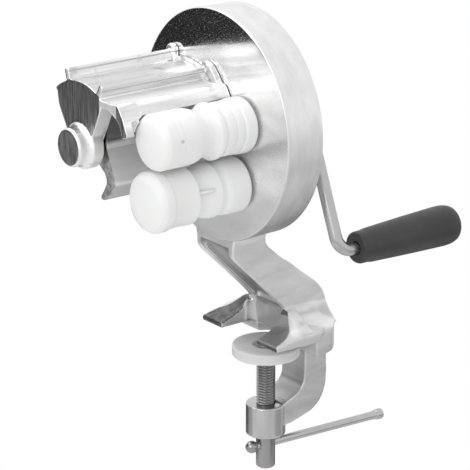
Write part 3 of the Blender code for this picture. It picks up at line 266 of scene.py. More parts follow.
def noise(tree, vector, scale, detail, distortion=0):
    """A noise texture in a tree, read at a vector."""
    made = tree.nodes.new("ShaderNodeTexNoise")
    for label, value in zip(("Vector", "Scale", "Detail", "Distortion"), (vector, scale, detail, distortion)):
        feed(tree, made.inputs[label], value)
    return made.outputs["Fac"]


def remap(tree, value, low, high, to_low=0.0, to_high=1.0):
    """Stretch a value between two limits to two others."""
    made = tree.nodes.new("ShaderNodeMapRange")
    labels = ("Value", "From Min", "From Max", "To Min", "To Max")
    for label, number in zip(labels, (value, low, high, to_low, to_high)):
        feed(tree, made.inputs[label], number)
    return made.outputs["Result"]


def combine(tree, operation, first, second):
    """One arithmetic step on two values."""
    made = tree.nodes.new("ShaderNodeMath")
    made.operation = operation
    feed(tree, made.inputs[0], first)
    feed(tree, made.inputs[1], second)
    return made.outputs[0]


def polish_marks_group():
    """Grain of a buffed or brushed surface: broad streaks with fine scratches in them."""
    tree, given, result = make_group("polish_marks", {"Streak": 60.0, "Scratch": 600.0},
                                     ("Streaks", "Scratches"))
    streaks = noise(tree, given.outputs["Vector"], given.outputs["Streak"], 5, 0.4)
    scratches = noise(tree, given.outputs["Vector"], given.outputs["Scratch"], 2)
    tree.links.new(remap(tree, streaks, 0.3, 0.7), result.inputs["Streaks"])
    tree.links.new(remap(tree, scratches, 0.3, 0.7), result.inputs["Scratches"])
    return tree


def casting_skin_group():
    """Dull blotches and pits where a casting's skin wasn't buffed away."""
    tree, given, result = make_group("casting_skin", {"Blotch": 70.0, "Cover": 0.55}, ("Mask", "Pits"))
    cloud = noise(tree, given.outputs["Vector"], given.outputs["Blotch"], 9, 0.8)
    edge = combine(tree, "ADD", given.outputs["Cover"], 0.12)
    tree.links.new(remap(tree, cloud, given.outputs["Cover"], edge), result.inputs["Mask"])
    specks = tree.nodes.new("ShaderNodeTexVoronoi")
    specks.inputs["Scale"].default_value = 420
    tree.links.new(given.outputs["Vector"], specks.inputs["Vector"])
    tree.links.new(remap(tree, specks.outputs["Distance"], 0.05, 0.28), result.inputs["Pits"])
    return tree


POLISH_MARKS = polish_marks_group()
CASTING_SKIN = casting_skin_group()


def effect(tree, group, vector, **values):
    """Place an effect group in a material, with its own values."""
    made = tree.nodes.new("ShaderNodeGroup")
    made.node_tree = group
    tree.links.new(vector, made.inputs["Vector"])
    for label, value in values.items():
        made.inputs[label].default_value = value
    return made.outputs


def stretched(tree, scale, turn=(0, 0, 0), middle=(0, 0, 0)):
    """Object coordinates about a middle, turned and stretched along the polishing direction."""
    coordinates = tree.nodes.new("ShaderNodeTexCoord")
    centred = tree.nodes.new("ShaderNodeMapping")
    centred.inputs["Location"].default_value = [-value for value in middle]
    shaped = tree.nodes.new("ShaderNodeMapping")
    shaped.inputs["Rotation"].default_value = turn
    shaped.inputs["Scale"].default_value = scale
    tree.links.new(coordinates.outputs["Object"], centred.inputs["Vector"])
    tree.links.new(centred.outputs["Vector"], shaped.inputs["Vector"])
    return shaped.outputs["Vector"]


def position(tree, middle=(0, 0, 0)):
    """Where a point of the piece lies from a middle, as separate X, Y and Z."""
    place = tree.nodes.new("ShaderNodeSeparateXYZ")
    tree.links.new(stretched(tree, (1, 1, 1), middle=middle), place.inputs["Vector"])
    return place.outputs


def grey(shade):
    """A colour without hue."""
    return shade, shade, shade


def two_tones(tree, mask, bright, dark):
    """A colour between two shades."""
    made = tree.nodes.new("ShaderNodeMix")
    made.data_type = "RGBA"
    made.inputs["A"].default_value = (*bright, 1)
    made.inputs["B"].default_value = (*dark, 1)
    tree.links.new(mask, made.inputs["Factor"])
    return made.outputs["Result"]


def relief(tree, shader, height, strength, distance):
    """Feed a height to the shader's normal."""
    made = tree.nodes.new("ShaderNodeBump")
    made.inputs["Strength"].default_value = strength
    made.inputs["Distance"].default_value = distance
    tree.links.new(height, made.inputs["Height"])
    tree.links.new(made.outputs["Normal"], shader.inputs["Normal"])


def buffed_aluminium(name, bright, dark, smooth, dull, scale, cover=0.60, streak=60, blotch=70,
                     depth=0.00004, grain=0.2, turn=(0, 0, 0)):
    """Cast aluminium after buffing: bright metal, streaks along one direction and dull blotches."""
    finish = bpy.data.materials.new(name)
    finish.use_nodes = True
    tree = finish.node_tree
    shader = tree.nodes["Principled BSDF"]
    shader.inputs["Metallic"].default_value = 1
    marks = effect(tree, POLISH_MARKS, stretched(tree, scale, turn), Streak=streak, Scratch=streak * 9)
    rough_skin = effect(tree, CASTING_SKIN, stretched(tree, (1, 1, 1)), Blotch=blotch, Cover=cover)
    shade = combine(tree, "MULTIPLY", rough_skin["Mask"], 1 - grain)
    shade = combine(tree, "ADD", shade, combine(tree, "MULTIPLY", marks["Streaks"], grain))
    tree.links.new(two_tones(tree, shade, bright, dark), shader.inputs["Base Color"])
    rough = combine(tree, "ADD", combine(tree, "MULTIPLY", marks["Streaks"], 0.45),
                    combine(tree, "MULTIPLY", rough_skin["Mask"], 0.55))
    tree.links.new(remap(tree, rough, 0.0, 1.0, smooth, dull), shader.inputs["Roughness"])
    pitted = combine(tree, "ADD", marks["Streaks"], combine(tree, "MULTIPLY", rough_skin["Pits"], 0.15))
    height = combine(tree, "ADD", combine(tree, "MULTIPLY", marks["Scratches"], 0.25), pitted)
    relief(tree, shader, height, 0.5, depth)
    return finish


def tone_mask(finish):
    """The socket that picks between a finish's bright and dark tones."""
    shader = finish.node_tree.nodes["Principled BSDF"]
    return shader.inputs["Base Color"].links[0].from_node.inputs["Factor"]


def painted_shade_along(finish, axis, start, end, most):
    """Paint shade on a finish along an axis of the piece, from most at the start to nothing at the end."""
    tree, tones = finish.node_tree, tone_mask(finish)
    fall = remap(tree, position(tree)[axis], start, end, most, 0.0)
    tree.links.new(combine(tree, "ADD", tones.links[0].from_socket, fall), tones)


def mirror_polish(name):
    """The buffed front: nearly a mirror at the top and hazier downwards, with specks, pits and swirls."""
    finish = buffed_aluminium(name, grey(0.97), grey(0.50), 0.10, 0.30, (0.35, 1, 1), cover=0.72, streak=75,
                              blotch=60, depth=0.00003, grain=0.45, turn=(0, math.radians(14), 0))
    tree = finish.node_tree
    roughness = tree.nodes["Principled BSDF"].inputs["Roughness"]
    haze = remap(tree, position(tree)["Z"], 0.085, 0.175, 0.20, 0.0)
    marks = effect(tree, POLISH_MARKS, stretched(tree, (0.6, 1, 1)), Streak=9.0, Scratch=1400.0)
    specks = remap(tree, marks["Scratches"], 0.72, 1.0, 0.0, 0.28)
    rough = combine(tree, "ADD", combine(tree, "ADD", roughness.links[0].from_socket, haze), specks)
    tree.links.new(combine(tree, "MINIMUM", rough, 0.62), roughness)
    return finish


mirror_face = mirror_polish("mirror_face")
brushed_rim = buffed_aluminium("brushed_rim", grey(0.84), grey(0.38), 0.34, 0.52, (1.6, 3.5, 1),
                               cover=0.75, streak=45, grain=0.26)
# Painted shade: the rim grows darker towards its bottom.
painted_shade_along(brushed_rim, "Z", 0.078, 0.125, 0.85)

case_radius, cover_radius = half_width("body_casting"), half_width("rear_cover")
case_form = bmesh.new()
case_profile = softened([
    (0, 0), (case_radius, 0), (case_radius - RIM_TAPER, RIM_BAND - CASE_DEPTH),
    (case_radius - RIM_TAPER, -CASE_DEPTH), (cover_radius + COVER_GAP, -CASE_DEPTH),
    (cover_radius + COVER_GAP, LEDGE_DEPTH - CASE_DEPTH), (0, LEDGE_DEPTH - CASE_DEPTH)], CASE_EDGE)
lathe(case_form, case_profile, CASE_MIDDLE, FRONT, 240)
case_piece = settle("gear_case", case_form, "frame", (brushed_rim, mirror_face),
                    "body_casting")
for polygon in case_piece.data.polygons:
    polygon.material_index = int(polygon.normal.y < FLAT_FRONT)


# Arm, jaw and clamp back. One casting runs from under the case down a leaning channel-shaped arm to a
# wide jaw with two feet, a lip behind, and a curved back that ends in the boss for the clamp screw.
ARM_STATIONS = (  # height, front, back, half width
    (84, -49.0, -25.8, 31), (77, -49.2, -25.7, 24), (71, -49.3, -25.6, 20.2), (66.5, -49.3, -25.5, 18.2),
    (62, -49.3, -25, 17.2), (58.5, -49.2, -22.8, 17), (54.8, -47.6, -18.8, 17), (49.1, -42.0, -12.2, 17),
    (45.8, -38.7, -7.2, 17), (39, -31.8, 0.9, 17), (30.3, -23.1, 12.0, 17), (24.1, -16.9, 17.6, 17),
    (19, -12.2, 20.0, 17.1), (15.5, -9.8, 20.9, 17.5), (10.5, -8.6, 21.4, 21), (5, -8.5, 21.5, 27))
WEB_TOP, WEB_RUN, WEB_DEPTH, WEB_HALF = 60, 5, 3.8, 13.4  # the recess in the arm's front, and its round top
JAW_HALF, JAW_SHOULDER, JAW_BACK = 36.5, 9.9, 21.9
JAW_LEVELS = (  # height, half width, front, shoulder, back
    (0, JAW_HALF, -8.5, JAW_SHOULDER, JAW_BACK), (6, JAW_HALF, -8.5, JAW_SHOULDER, JAW_BACK),
    (6.8, 34, -8.5, 10.2, 21.9), (8, 27.8, -8.5, 11.5, 21.6), (10, 23, -8.5, 12.6, 21.4),
    (12.9, 19.4, -8.6, 14, 21), (17, 17.4, -8.8, 15, 20.3))
FOOT_STATIONS = (  # distance, inner side, outer side, inner height, ridge across, its height, outer height
    (-31.6, 16.7, 35.4, 3.2, 34.6, 3.2, 2.8), (-27, 16.7, 35.6, 4.6, 33.9, 4.5, 3.5),
    (-22.1, 16.7, 35.8, 6.3, 32.8, 6.0, 4.5), (-17.4, 16.5, 36.1, 9.0, 29.4, 7.9, 5.3),
    (-14.9, 16.3, 36.3, 12.1, 26.3, 10.4, 5.6), (-12.6, 16.0, 36.5, 15.7, 22.4, 13.8, 5.9),
    (-10.7, 15.6, 36.5, 16.8, 19.7, 16.3, 6.0), (-3.8, 15.5, 36.5, 16.8, 17.9, 16.7, 6.0))
FILLET_ACROSS, FILLET_ALONG, FILLET_RADIUS = 10.5, -13.5, 5  # the round corner between foot and jaw
SPINE = ((10.3, 6), (10.3, -30), (9.6, -37), (5.5, -41.6), (-2, -44.6), (-8.5, -47.2), (-8.5, -58.8),
         (-2.4, -60.6), (8, -58.0), (17.2, -55.4), (23.6, -49.8), (27.0, -41), (27.4, -32), (27, -18),
         (25.8, -4), (22, 6))
SPINE_HALF, BOSS_RADIUS, THROAT, BOSS_END = 11, 12, -47, -66.8
CLAMP_LINE, SCALLOP = -11, 21.7  # the screw's place, and the hollow that the lip has round it
LIP_FRONT, LIP_BACK_HALF, LIP = -2, 24.5, -9.2
CASTING_GRAIN = 0.00065


def smooth_rows(rows, steps):
    """Rows of numbers carried on smoothly between the given ones, through all of them."""
    made = []
    last = len(rows) - 1
    for index in range(last):
        near = [rows[max(index - 1, 0)], rows[index], rows[index + 1], rows[min(index + 2, last)]]
        for step in range(steps):
            share = step / steps
            made.append([0.5 * (2 * b + (c - a) * share + (2 * a - 5 * b + 4 * c - d) * share ** 2
                                + (3 * b - a - 3 * c + d) * share ** 3) for a, b, c, d in zip(*near)])
    return made + [list(rows[last])]


def skin(form, sections):
    """Close a row of rings, each with as many corners, into one body."""
    rings = [[form.verts.new(Vector(corner) * MM) for corner in section] for section in sections]
    for lower, upper in zip(rings, rings[1:]):
        for index, corner in enumerate(lower):
            after = (index + 1) % len(lower)
            form.faces.new((corner, lower[after], upper[after], upper[index]))
    form.faces.new(rings[0])
    form.faces.new(rings[-1])


def finished_shape(blank):
    """A blank's shape after its modifiers, as a new bmesh. The blank itself is taken away."""
    shape = bmesh.new()
    shape.from_mesh(blank.evaluated_get(bpy.context.evaluated_depsgraph_get()).to_mesh())
    bpy.data.meshes.remove(blank.data)
    return shape


def cast_shape(form, grain, smoothing):
    """Melt overlapping bodies into one casting with soft inner corners."""
    bmesh.ops.recalc_face_normals(form, faces=form.faces)
    blank = placed("casting", form)
    melt = blank.modifiers.new("melt", "REMESH")
    melt.mode = "VOXEL"
    melt.voxel_size = grain
    soften = blank.modifiers.new("soften", "SMOOTH")
    soften.factor = 0.5
    soften.iterations = smoothing
    return finished_shape(blank)


stand_form = bmesh.new()
arm_rings = []
for level, front, back, half in smooth_rows(ARM_STATIONS, 5):
    rise = min(max((WEB_TOP - level) / WEB_RUN, 0), 1)
    top_curve = math.sqrt(1 - (1 - rise) ** 2)
    inner = WEB_HALF * (0.55 + 0.45 * top_curve)
    bottom_half = inner - 1.2
    bottom = front + WEB_DEPTH * top_curve * min(max((level - 9) / 6, 0), 1) * 1.3
    arm_rings.append([(-half, front, level), (-inner, front, level), (-bottom_half, bottom, level),
                      (bottom_half, bottom, level), (inner, front, level), (half, front, level),
                      (half, back, level), (-half, back, level)])
skin(stand_form, arm_rings)
for side in (-1, 1):
    hollow = [(side * (FILLET_ACROSS + FILLET_RADIUS * math.sin(turn)),
               FILLET_ALONG + FILLET_RADIUS * math.cos(turn)) for turn in (0, 0.4, 0.8, 1.2, math.pi / 2)]
    corner = [(side * (FILLET_ACROSS + 6), FILLET_ALONG + 6), (side * FILLET_ACROSS, FILLET_ALONG + 6)]
    skin(stand_form, [[(across, along, level) for across, along in corner + hollow] for level in (0.5, 14)])
jaw_rings = []
for level, half, front, shoulder, back in smooth_rows(JAW_LEVELS, 3):
    jaw_outline = softened([(half, front), (half, shoulder), (half * 0.67, back), (-half * 0.67, back),
                            (-half, shoulder), (-half, front)], 7)
    jaw_rings.append([(across, along, level) for across, along in jaw_outline])
skin(stand_form, jaw_rings)
for side in (-1, 1):
    skin(stand_form, [[(side * inner, along, 0), (side * outer, along, 0), (side * outer, along, low),
                       (side * ridge, along, crest), (side * inner, along, tall)]
                      for along, inner, outer, tall, ridge, crest, low in smooth_rows(FOOT_STATIONS, 4)])
scallop_start = math.asin((LIP_FRONT - CLAMP_LINE) / SCALLOP)
lip_outline = [(JAW_HALF, LIP_FRONT)]
for step in range(25):
    turn = scallop_start + (math.pi - 2 * scallop_start) * step / 24
    lip_outline.append((SCALLOP * math.cos(turn), SCALLOP * math.sin(turn) + CLAMP_LINE))
lip_outline += softened([(-JAW_HALF, LIP_FRONT), (-JAW_HALF, JAW_SHOULDER), (-LIP_BACK_HALF, JAW_BACK),
                         (LIP_BACK_HALF, JAW_BACK), (JAW_HALF, JAW_SHOULDER), (JAW_HALF, LIP_FRONT)], 7)[:-1]
skin(stand_form, [[(across * share, 5 + (along - 5) * share, level) for across, along in lip_outline]
                  for level, share in ((LIP, 0.955), (LIP + 0.5, 0.98), (LIP + 1.6, 1), (4, 1))])
spine_outline = softened(SPINE, 6, 5, closed=True)
skin(stand_form, [[(across, along, level) for along, level in spine_outline]
                  for across in (-SPINE_HALF, SPINE_HALF)])
lathe(stand_form, [(0, BOSS_END), (BOSS_RADIUS, BOSS_END), (BOSS_RADIUS, THROAT), (0, THROAT)],
      Vector((0, CLAMP_LINE, 0)) * MM, Vector((0, 0, 1)), 48)

satin_casting = buffed_aluminium("satin_casting", grey(0.83), grey(0.42), 0.42, 0.58, (1, 1, 3),
                                 cover=0.66, streak=45, blotch=55, depth=0.00006, grain=0.40)
# Painted shade: the casting grows darker towards its bottom, on the clamp's back and the lip.
painted_shade_along(satin_casting, "Z", -0.012, 0.004, 0.42)
# Painted reflection: a grey and a dark copy of the casting's finish, for faces that show the dark surroundings.
painted_grey_reflection = buffed_aluminium("painted_grey_reflection", grey(0.42), grey(0.28), 0.46, 0.60, (1, 1, 0.4),
                            cover=0.62, blotch=60, depth=0.00005, grain=0.5)
painted_dark_reflection = buffed_aluminium("painted_dark_reflection", grey(0.20), grey(0.05), 0.40, 0.58, (1, 1, 1),
                             cover=0.56, streak=220, blotch=300, depth=0.00009, grain=0.7)
# The boss's turned finish, also laid on the slot between the feet as painted light against their shade.
turned_boss_and_lit_slot = buffed_aluminium("turned_boss_and_lit_slot", grey(0.58), grey(0.36), 0.20, 0.34, (1.5, 1.5, 0.3),
                               cover=0.62, streak=90, grain=0.5)
SATIN, GREY_REFLECTION, DARK_REFLECTION, BOSS_AND_LIT_SLOT = range(4)
stand_piece = settle("arm_and_jaw", cast_shape(stand_form, CASTING_GRAIN, 5), "frame",
                     (satin_casting, painted_grey_reflection, painted_dark_reflection, turned_boss_and_lit_slot), "body_casting", 60)

# The recess in the arm and the lower top of the right foot are painted grey, and the feet's other tops and
# their tips dark: painted reflection of the dark surroundings. The clamp's boss is machined, and the slot
# between the feet takes its finish as painted light against the shade of the jaw, feet and pad.
ridge_line = [(row[0], row[4]) for row in FOOT_STATIONS]
for polygon in stand_piece.data.polygons:
    spot, facing = polygon.center / MM, polygon.normal
    on_web = abs(spot.x) < 13.1 and 15 < spot.z < 62 and facing.y < -0.25 and -50 < spot.y < -8
    ridge = next((across + (ahead - across) * (spot.y - start) / (end - start)
                  for (start, across), (end, ahead) in zip(ridge_line, ridge_line[1:])
                  if start <= spot.y < end), 0)
    on_foot_top = 15.4 < abs(spot.x) < ridge and 2.2 < spot.z < 18 and facing.z > 0.2 and spot.y < -10.5
    on_tip = spot.y < -31.2 and spot.z < 8 and facing.y < -0.8
    on_boss = spot.z < -45 and math.hypot(spot.x, spot.y - CLAMP_LINE) < BOSS_RADIUS + 0.3
    on_slot = abs(spot.x) < 15.8 and 0.6 < spot.z <= 15 and facing.y < -0.25 and -20 < spot.y < -7
    if on_web or (on_foot_top and spot.x > 0 and spot.z < 14.5):
        polygon.material_index = GREY_REFLECTION
    elif on_boss or on_slot:
        polygon.material_index = BOSS_AND_LIT_SLOT
    elif on_foot_top or on_tip:
        polygon.material_index = DARK_REFLECTION
    else:
        polygon.material_index = SATIN


# Rear cover. A flat plate of cast aluminium, sunk flush in the case's ledge and held by five screws. It has a
# tall hub for the crank's shaft and a low one for the cutter's shaft.
DRIVE = places["crank_turn"]
ROTOR = places["cutter_turn"]
COVER_BACK = 20.8
DRIVE_BORE, DRIVE_HUB, DRIVE_HUB_LENGTH = 8.6, 12, 5.5
ROTOR_HUB, ROTOR_HUB_LENGTH = 9, 3
HUB_TAPER = 0.6
cover_form = bmesh.new()
lathe(cover_form, [(0, -COVER_BACK), (cover_radius, -COVER_BACK), (cover_radius, -CASE_DEPTH + 0.3),
                   (cover_radius - 0.4, -CASE_DEPTH), (0, -CASE_DEPTH)], CASE_MIDDLE, FRONT, 160)
lathe(cover_form, softened([
    (DRIVE_BORE, -CASE_DEPTH - DRIVE_HUB_LENGTH), (DRIVE_HUB, -CASE_DEPTH - DRIVE_HUB_LENGTH),
    (DRIVE_HUB + HUB_TAPER, -CASE_DEPTH), (DRIVE_HUB + HUB_TAPER, -CASE_DEPTH + 0.5),
    (DRIVE_BORE, -CASE_DEPTH + 0.5)], 0.8, closed=True), DRIVE, FRONT, 64, True)
lathe(cover_form, softened([
    (0, -CASE_DEPTH - ROTOR_HUB_LENGTH), (ROTOR_HUB, -CASE_DEPTH - ROTOR_HUB_LENGTH),
    (ROTOR_HUB + HUB_TAPER, -CASE_DEPTH + 0.5)], 1.2), ROTOR, FRONT, 64)
dull_plate = buffed_aluminium("dull_plate", grey(0.80), grey(0.66), 0.30, 0.50, (1, 1, 1), streak=35)
settle("rear_plate", cover_form, "frame", (dull_plate,), "rear_cover")


# Cover screws. Five pan heads of bright turned steel hold the cover plate in its ledge. Each head has one
# straight slot, sawn across it.
SCREW_HEAD = ((0, -2.8), (2.6, -2.75), (3.7, -1.4), (3.7, 0.0), (0, 0.0))
SLOT_PLACE, SLOT_SIZE = Vector((0, 2.5, 0)), Vector((9, 1.4, 1))


def steel_finish(name, bright, dark, smooth, dull, scale, streak=80, depth=0.00002):
    """Drawn or turned steel: bright metal with streaks along its length."""
    finish = buffed_aluminium(name, bright, dark, smooth, dull, scale, cover=0.66, streak=streak,
                              blotch=120, depth=depth)
    finish.node_tree.nodes["Principled BSDF"].inputs["IOR"].default_value = 2.5
    return finish


def slotted(form, middle, sizes):
    """Cut a box-shaped slot out of a turned head."""
    slot_form = bmesh.new()
    bmesh.ops.create_cube(slot_form, size=1)
    bmesh.ops.scale(slot_form, vec=sizes, verts=slot_form.verts)
    bmesh.ops.translate(slot_form, vec=middle, verts=slot_form.verts)
    for part in (form, slot_form):
        bmesh.ops.recalc_face_normals(part, faces=part.faces)
    head, slot = placed("head", form), placed("slot", slot_form)
    cut = head.modifiers.new("cut", "BOOLEAN")
    cut.operation = "DIFFERENCE"
    cut.object = slot
    shape = finished_shape(head)
    bpy.data.meshes.remove(slot.data)
    return shape


bright_steel = steel_finish("bright_steel", (0.62, 0.62, 0.63), (0.36, 0.36, 0.37), 0.16, 0.36, (1, 1, 1))
for number in range(1, 6):
    low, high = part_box(f"cover_screw_{number}")
    seat = Vector(((low.x + high.x) / 2, FACE + CASE_DEPTH * MM, (low.z + high.z) / 2))
    head_form = bmesh.new()
    lathe(head_form, softened(SCREW_HEAD, 0.6), seat, FRONT, 32)
    bmesh.ops.remove_doubles(head_form, verts=head_form.verts, dist=WELD)
    head_form = slotted(head_form, seat + SLOT_PLACE * MM, SLOT_SIZE * MM)
    settle(f"screw_head_{number}", head_form, "frame", (bright_steel,), f"cover_screw_{number}", 40)


# Hood. A shell over the cutter with two fins and a skirt towards the rollers, cast in one with a thick
# front wall, its arch and the bearing boss; the front wall's scratched faces are painted dark, a painted
# reflection.
HOOD_INNER, HOOD_OUTER, HOOD_START, HOOD_END, HOOD_WALL = 34.2, 36.8, 0.4, 75, 65.4
SHELL_RIGHT, SHELL_LEFT = 48, 129  # angles round the cutter's axis where the shell ends
FINS = (106.5, 60.8)
FIN_TOP, FIN_HALF = 43.5, 1.9
SHELL_MIDDLE = 35.5  # arcs that end inside the shell's wall have this radius
COLLAR, COLLAR_DEPTH, CURL = 39.2, 3.0, 42.4
SKIRT = ((21.4, 30.3), (27.0, 29.7), (36.3, 30.8), (40.4, 24.4), (35.9, 23.3), (33.0, 27.3), (22.8, 26.0))
GUSSET = ((19.0, 30.0), (21.6, 41.0), (25.4, 39.8), (30.6, 34.4), (35.4, 28.2), (38.6, 22.6), (35.4, 22.4),
          (33.0, 27.3), (24.0, 28.0))
FAN = ((21.0, 26.5), (13.8, 11.6), (7.4, 0), (0, -5.9), (-7.4, 0), (-12.1, 5.5), (-20.5, 19.3), (-21.9, 27.8))
LEG = ((22.8, 28.4), (36.3, 30.8), (41.1, 23.9), (45.5, 14.3), (40.8, 12.5), (37.6, 20.4), (33.2, 23.5),
       (28.0, 25.8), (22.8, 27.1))
LEG_BACK = ((22.8, 28.4), (36.3, 30.8), (42.0, 22.0), (38.4, 19.2), (33.2, 23.5), (28.0, 25.8), (22.8, 27.1))
HORN = (  # from, to, clearance round the upper roller, angles, corners above it
    (HOOD_START, 62.4, 16.9, 128, ((33.5, 26), (40.7, 24.6))),
    (62.4, 64.2, 15.6, 129, ((33.5, 26), (36.3, 30.7), (41.1, 23.9))),
    (64.2, 65.6, 13.3, 131, ((33.5, 26), (36.3, 30.7), (42.3, 21.4))))
FRONT_BOSS = ((0, 64.2), (13.6, 68), (13.6, 74.9), (12.0, 76.0), (11.2, 78.0), (11.2, 82.2), (10.2, 83.2),
              (0, 83.2))
CURL_BUTTON = ((0, 0.3), (4.3, 0.3), (4.3, 2.6), (3.5, 3.8), (2.4, 4.0), (1.5, 3.2), (0, 3.0))
GUSSET_DEPTH, LEG_START, LEG_BACK_END = 4.4, 69.5, 70
HOOD_GRAIN = 0.00055


def around(radius, start, end, steps):
    """Points of an arc about the piece's own axis, by angles in degrees."""
    turns = [math.radians(start + (end - start) * step / steps) for step in range(steps + 1)]
    return [(radius * math.cos(turn), radius * math.sin(turn)) for turn in turns]


def slab(form, outline, centre, low, high):
    """Extrude an outline, seen from the front about an axis, from low to high ahead of the face."""
    skin(form, [[(centre.x / MM + across, FACE / MM - ahead, centre.z / MM + rise)
                 for across, rise in outline] for ahead in (low, high)])


def fin_outline(angle):
    """One round-edged upright fin, from its right root to its left root."""
    turn = math.radians(angle)
    out = Vector((math.cos(turn), math.sin(turn)))
    aside = Vector((out.y, -out.x))
    corners = [out * (HOOD_OUTER - 1) - aside * FIN_HALF, out * FIN_TOP - aside * FIN_HALF,
               out * FIN_TOP + aside * FIN_HALF, out * (HOOD_OUTER - 1) + aside * FIN_HALF]
    return softened(corners, 1.3, 3)


hood_form = bmesh.new()
shell = around(HOOD_OUTER, SHELL_LEFT, FINS[0] + 3, 10) + fin_outline(FINS[0])
shell += around(HOOD_OUTER, FINS[0] - 3, FINS[1] + 3, 18) + fin_outline(FINS[1])
shell += softened(SKIRT, 2.4, 5) + around(HOOD_INNER, SHELL_RIGHT, SHELL_LEFT, 30)
slab(hood_form, shell, ROTOR, HOOD_START, HOOD_END)
slab(hood_form, around(COLLAR, 131, 60, 30) + around(SHELL_MIDDLE, 60, 131, 30), ROTOR, 0.3, COLLAR_DEPTH)
slab(hood_form, softened(GUSSET, 1.5, 3, True), ROTOR, 0.3, GUSSET_DEPTH)
away = (DRIVE - ROTOR) / MM
for start, end, clearance, turn, above in HORN:
    horn = [(away.x + across, away.z + rise) for across, rise in around(clearance, turn, 164, 8)]
    slab(hood_form, [*above, *horn, *around(34.9, 23, 36, 5)], ROTOR, start, end)
slab(hood_form, around(SHELL_MIDDLE, 128, 54, 24) + softened(FAN, 2.5, 4), ROTOR, HOOD_WALL, HOOD_END)
slab(hood_form, softened(LEG, 1.2, 3, True), ROTOR, LEG_START, HOOD_END)
slab(hood_form, LEG_BACK, ROTOR, HOOD_WALL, LEG_BACK_END)
lathe(hood_form, FRONT_BOSS, ROTOR, FRONT, 64)
for angle in (*FINS, SHELL_LEFT):
    turn = math.radians(angle)
    button = ROTOR + Vector((math.cos(turn), 0, math.sin(turn))) * CURL * MM
    lathe(hood_form, CURL_BUTTON, button, FRONT, 32)


def finned_polish_and_shade(name):
    """Bright buffed metal streaked along the hood, with painted shade as grey lines at the fins' edges and roots.
    """
    finish = buffed_aluminium(name, grey(0.96), grey(0.34), 0.22, 0.42, (1.2, 0.10, 1.2),
                              streak=110, blotch=75, depth=0.00006, grain=0.6)
    tree, tones = finish.node_tree, tone_mask(finish)
    reach = tree.nodes.new("ShaderNodeVectorMath")
    reach.operation = "LENGTH"
    tree.links.new(stretched(tree, (1, 0, 1), middle=ROTOR), reach.inputs[0])
    far, place = reach.outputs["Value"], position(tree, ROTOR)
    # Painted shade: grey lines just below the fins' rounded tops and at their roots, above the skirt.
    edge = combine(tree, "MULTIPLY", remap(tree, far, 0.0409, 0.0414, 0.0, 0.75),
                   remap(tree, far, 0.0420, 0.0424, 1.0, 0.0))
    root = combine(tree, "MULTIPLY", remap(tree, far, 0.0368, 0.0374, 0.0, 0.45),
                   remap(tree, far, 0.0376, 0.0388, 1.0, 0.0))
    shade_lines = combine(tree, "MULTIPLY", combine(tree, "MAXIMUM", edge, root),
                    remap(tree, place["Z"], 0.0306, 0.0316))
    cloud = remap(tree, noise(tree, stretched(tree, (1, 0.5, 1)), 150, 8, 0.5), 0.50, 0.60)
    patches = combine(tree, "MULTIPLY", cloud, remap(tree, place["Y"], -0.022, -0.008, 0.0, 0.75))
    shade = combine(tree, "MAXIMUM", tones.links[0].from_socket, combine(tree, "MAXIMUM", shade_lines, patches))
    tree.links.new(shade, tones)
    return finish


bright_hood = finned_polish_and_shade("bright_hood")
# Painted dark reflection, over scratches, for the front wall's faces, and painted shade for one side of each fin's
# end.
dark_front = buffed_aluminium("dark_front", grey(0.42), grey(0.03), 0.36, 0.54, (3.2, 1, 0.3),
                              cover=0.56, streak=230, blotch=130, depth=0.00006, grain=0.85)
front_edge = buffed_aluminium("front_edge", grey(0.92), grey(0.62), 0.52, 0.64, (1, 1, 1),
                              cover=0.58, streak=80, blotch=90, depth=0.00005)
BRIGHT_HOOD, DARK_FRONT, FRONT_EDGE = range(3)
hood_piece = settle("hood", cast_shape(hood_form, HOOD_GRAIN, 3), "frame",
                    (bright_hood, dark_front, front_edge), "forming_hood", 60)

# The fan of the front wall, the boss's end and the right leg's front are painted dark, a painted reflection,
# and one side of each fin's end is painted dark as painted shade. The other faces towards the front, the
# arch's inside and the gutter of the skirt take a paler, rougher finish, which on the arch's inside is
# painted light against its shade.
for polygon in hood_piece.data.polygons:
    spot, facing = (polygon.center - ROTOR) / MM, polygon.normal
    far = math.hypot(spot.x, spot.z)
    at_end = spot.y < -HOOD_END + 0.35
    on_fan = at_end and spot.x < 19 and facing.y < -0.93 and far < HOOD_OUTER + 0.4
    on_boss_end = spot.y < -82.8 and facing.y < -0.93
    on_right_leg_front = at_end and spot.x > 35 and facing.y < FLAT_FRONT
    on_fin_end = (spot.y < -HOOD_END + 0.8 and far > HOOD_OUTER + 0.6
                  and any(-3 < spot.x * math.sin(turn) - spot.z * math.cos(turn) < -0.7
                          for turn in map(math.radians, FINS)))
    on_front = spot.y < -60 and facing.y < -0.7
    on_leg = spot.y < -64.8 and facing.x > 0.4 and 6 < spot.x < 21.5 and spot.z < 27
    on_gutter = spot.x > 20.5 and 26 < spot.z < 33 and facing.z > 0.6
    if on_fan or on_boss_end or on_right_leg_front or on_fin_end:
        polygon.material_index = DARK_FRONT
    elif on_front or on_leg or on_gutter:
        polygon.material_index = FRONT_EDGE
    else:
        polygon.material_index = BRIGHT_HOOD


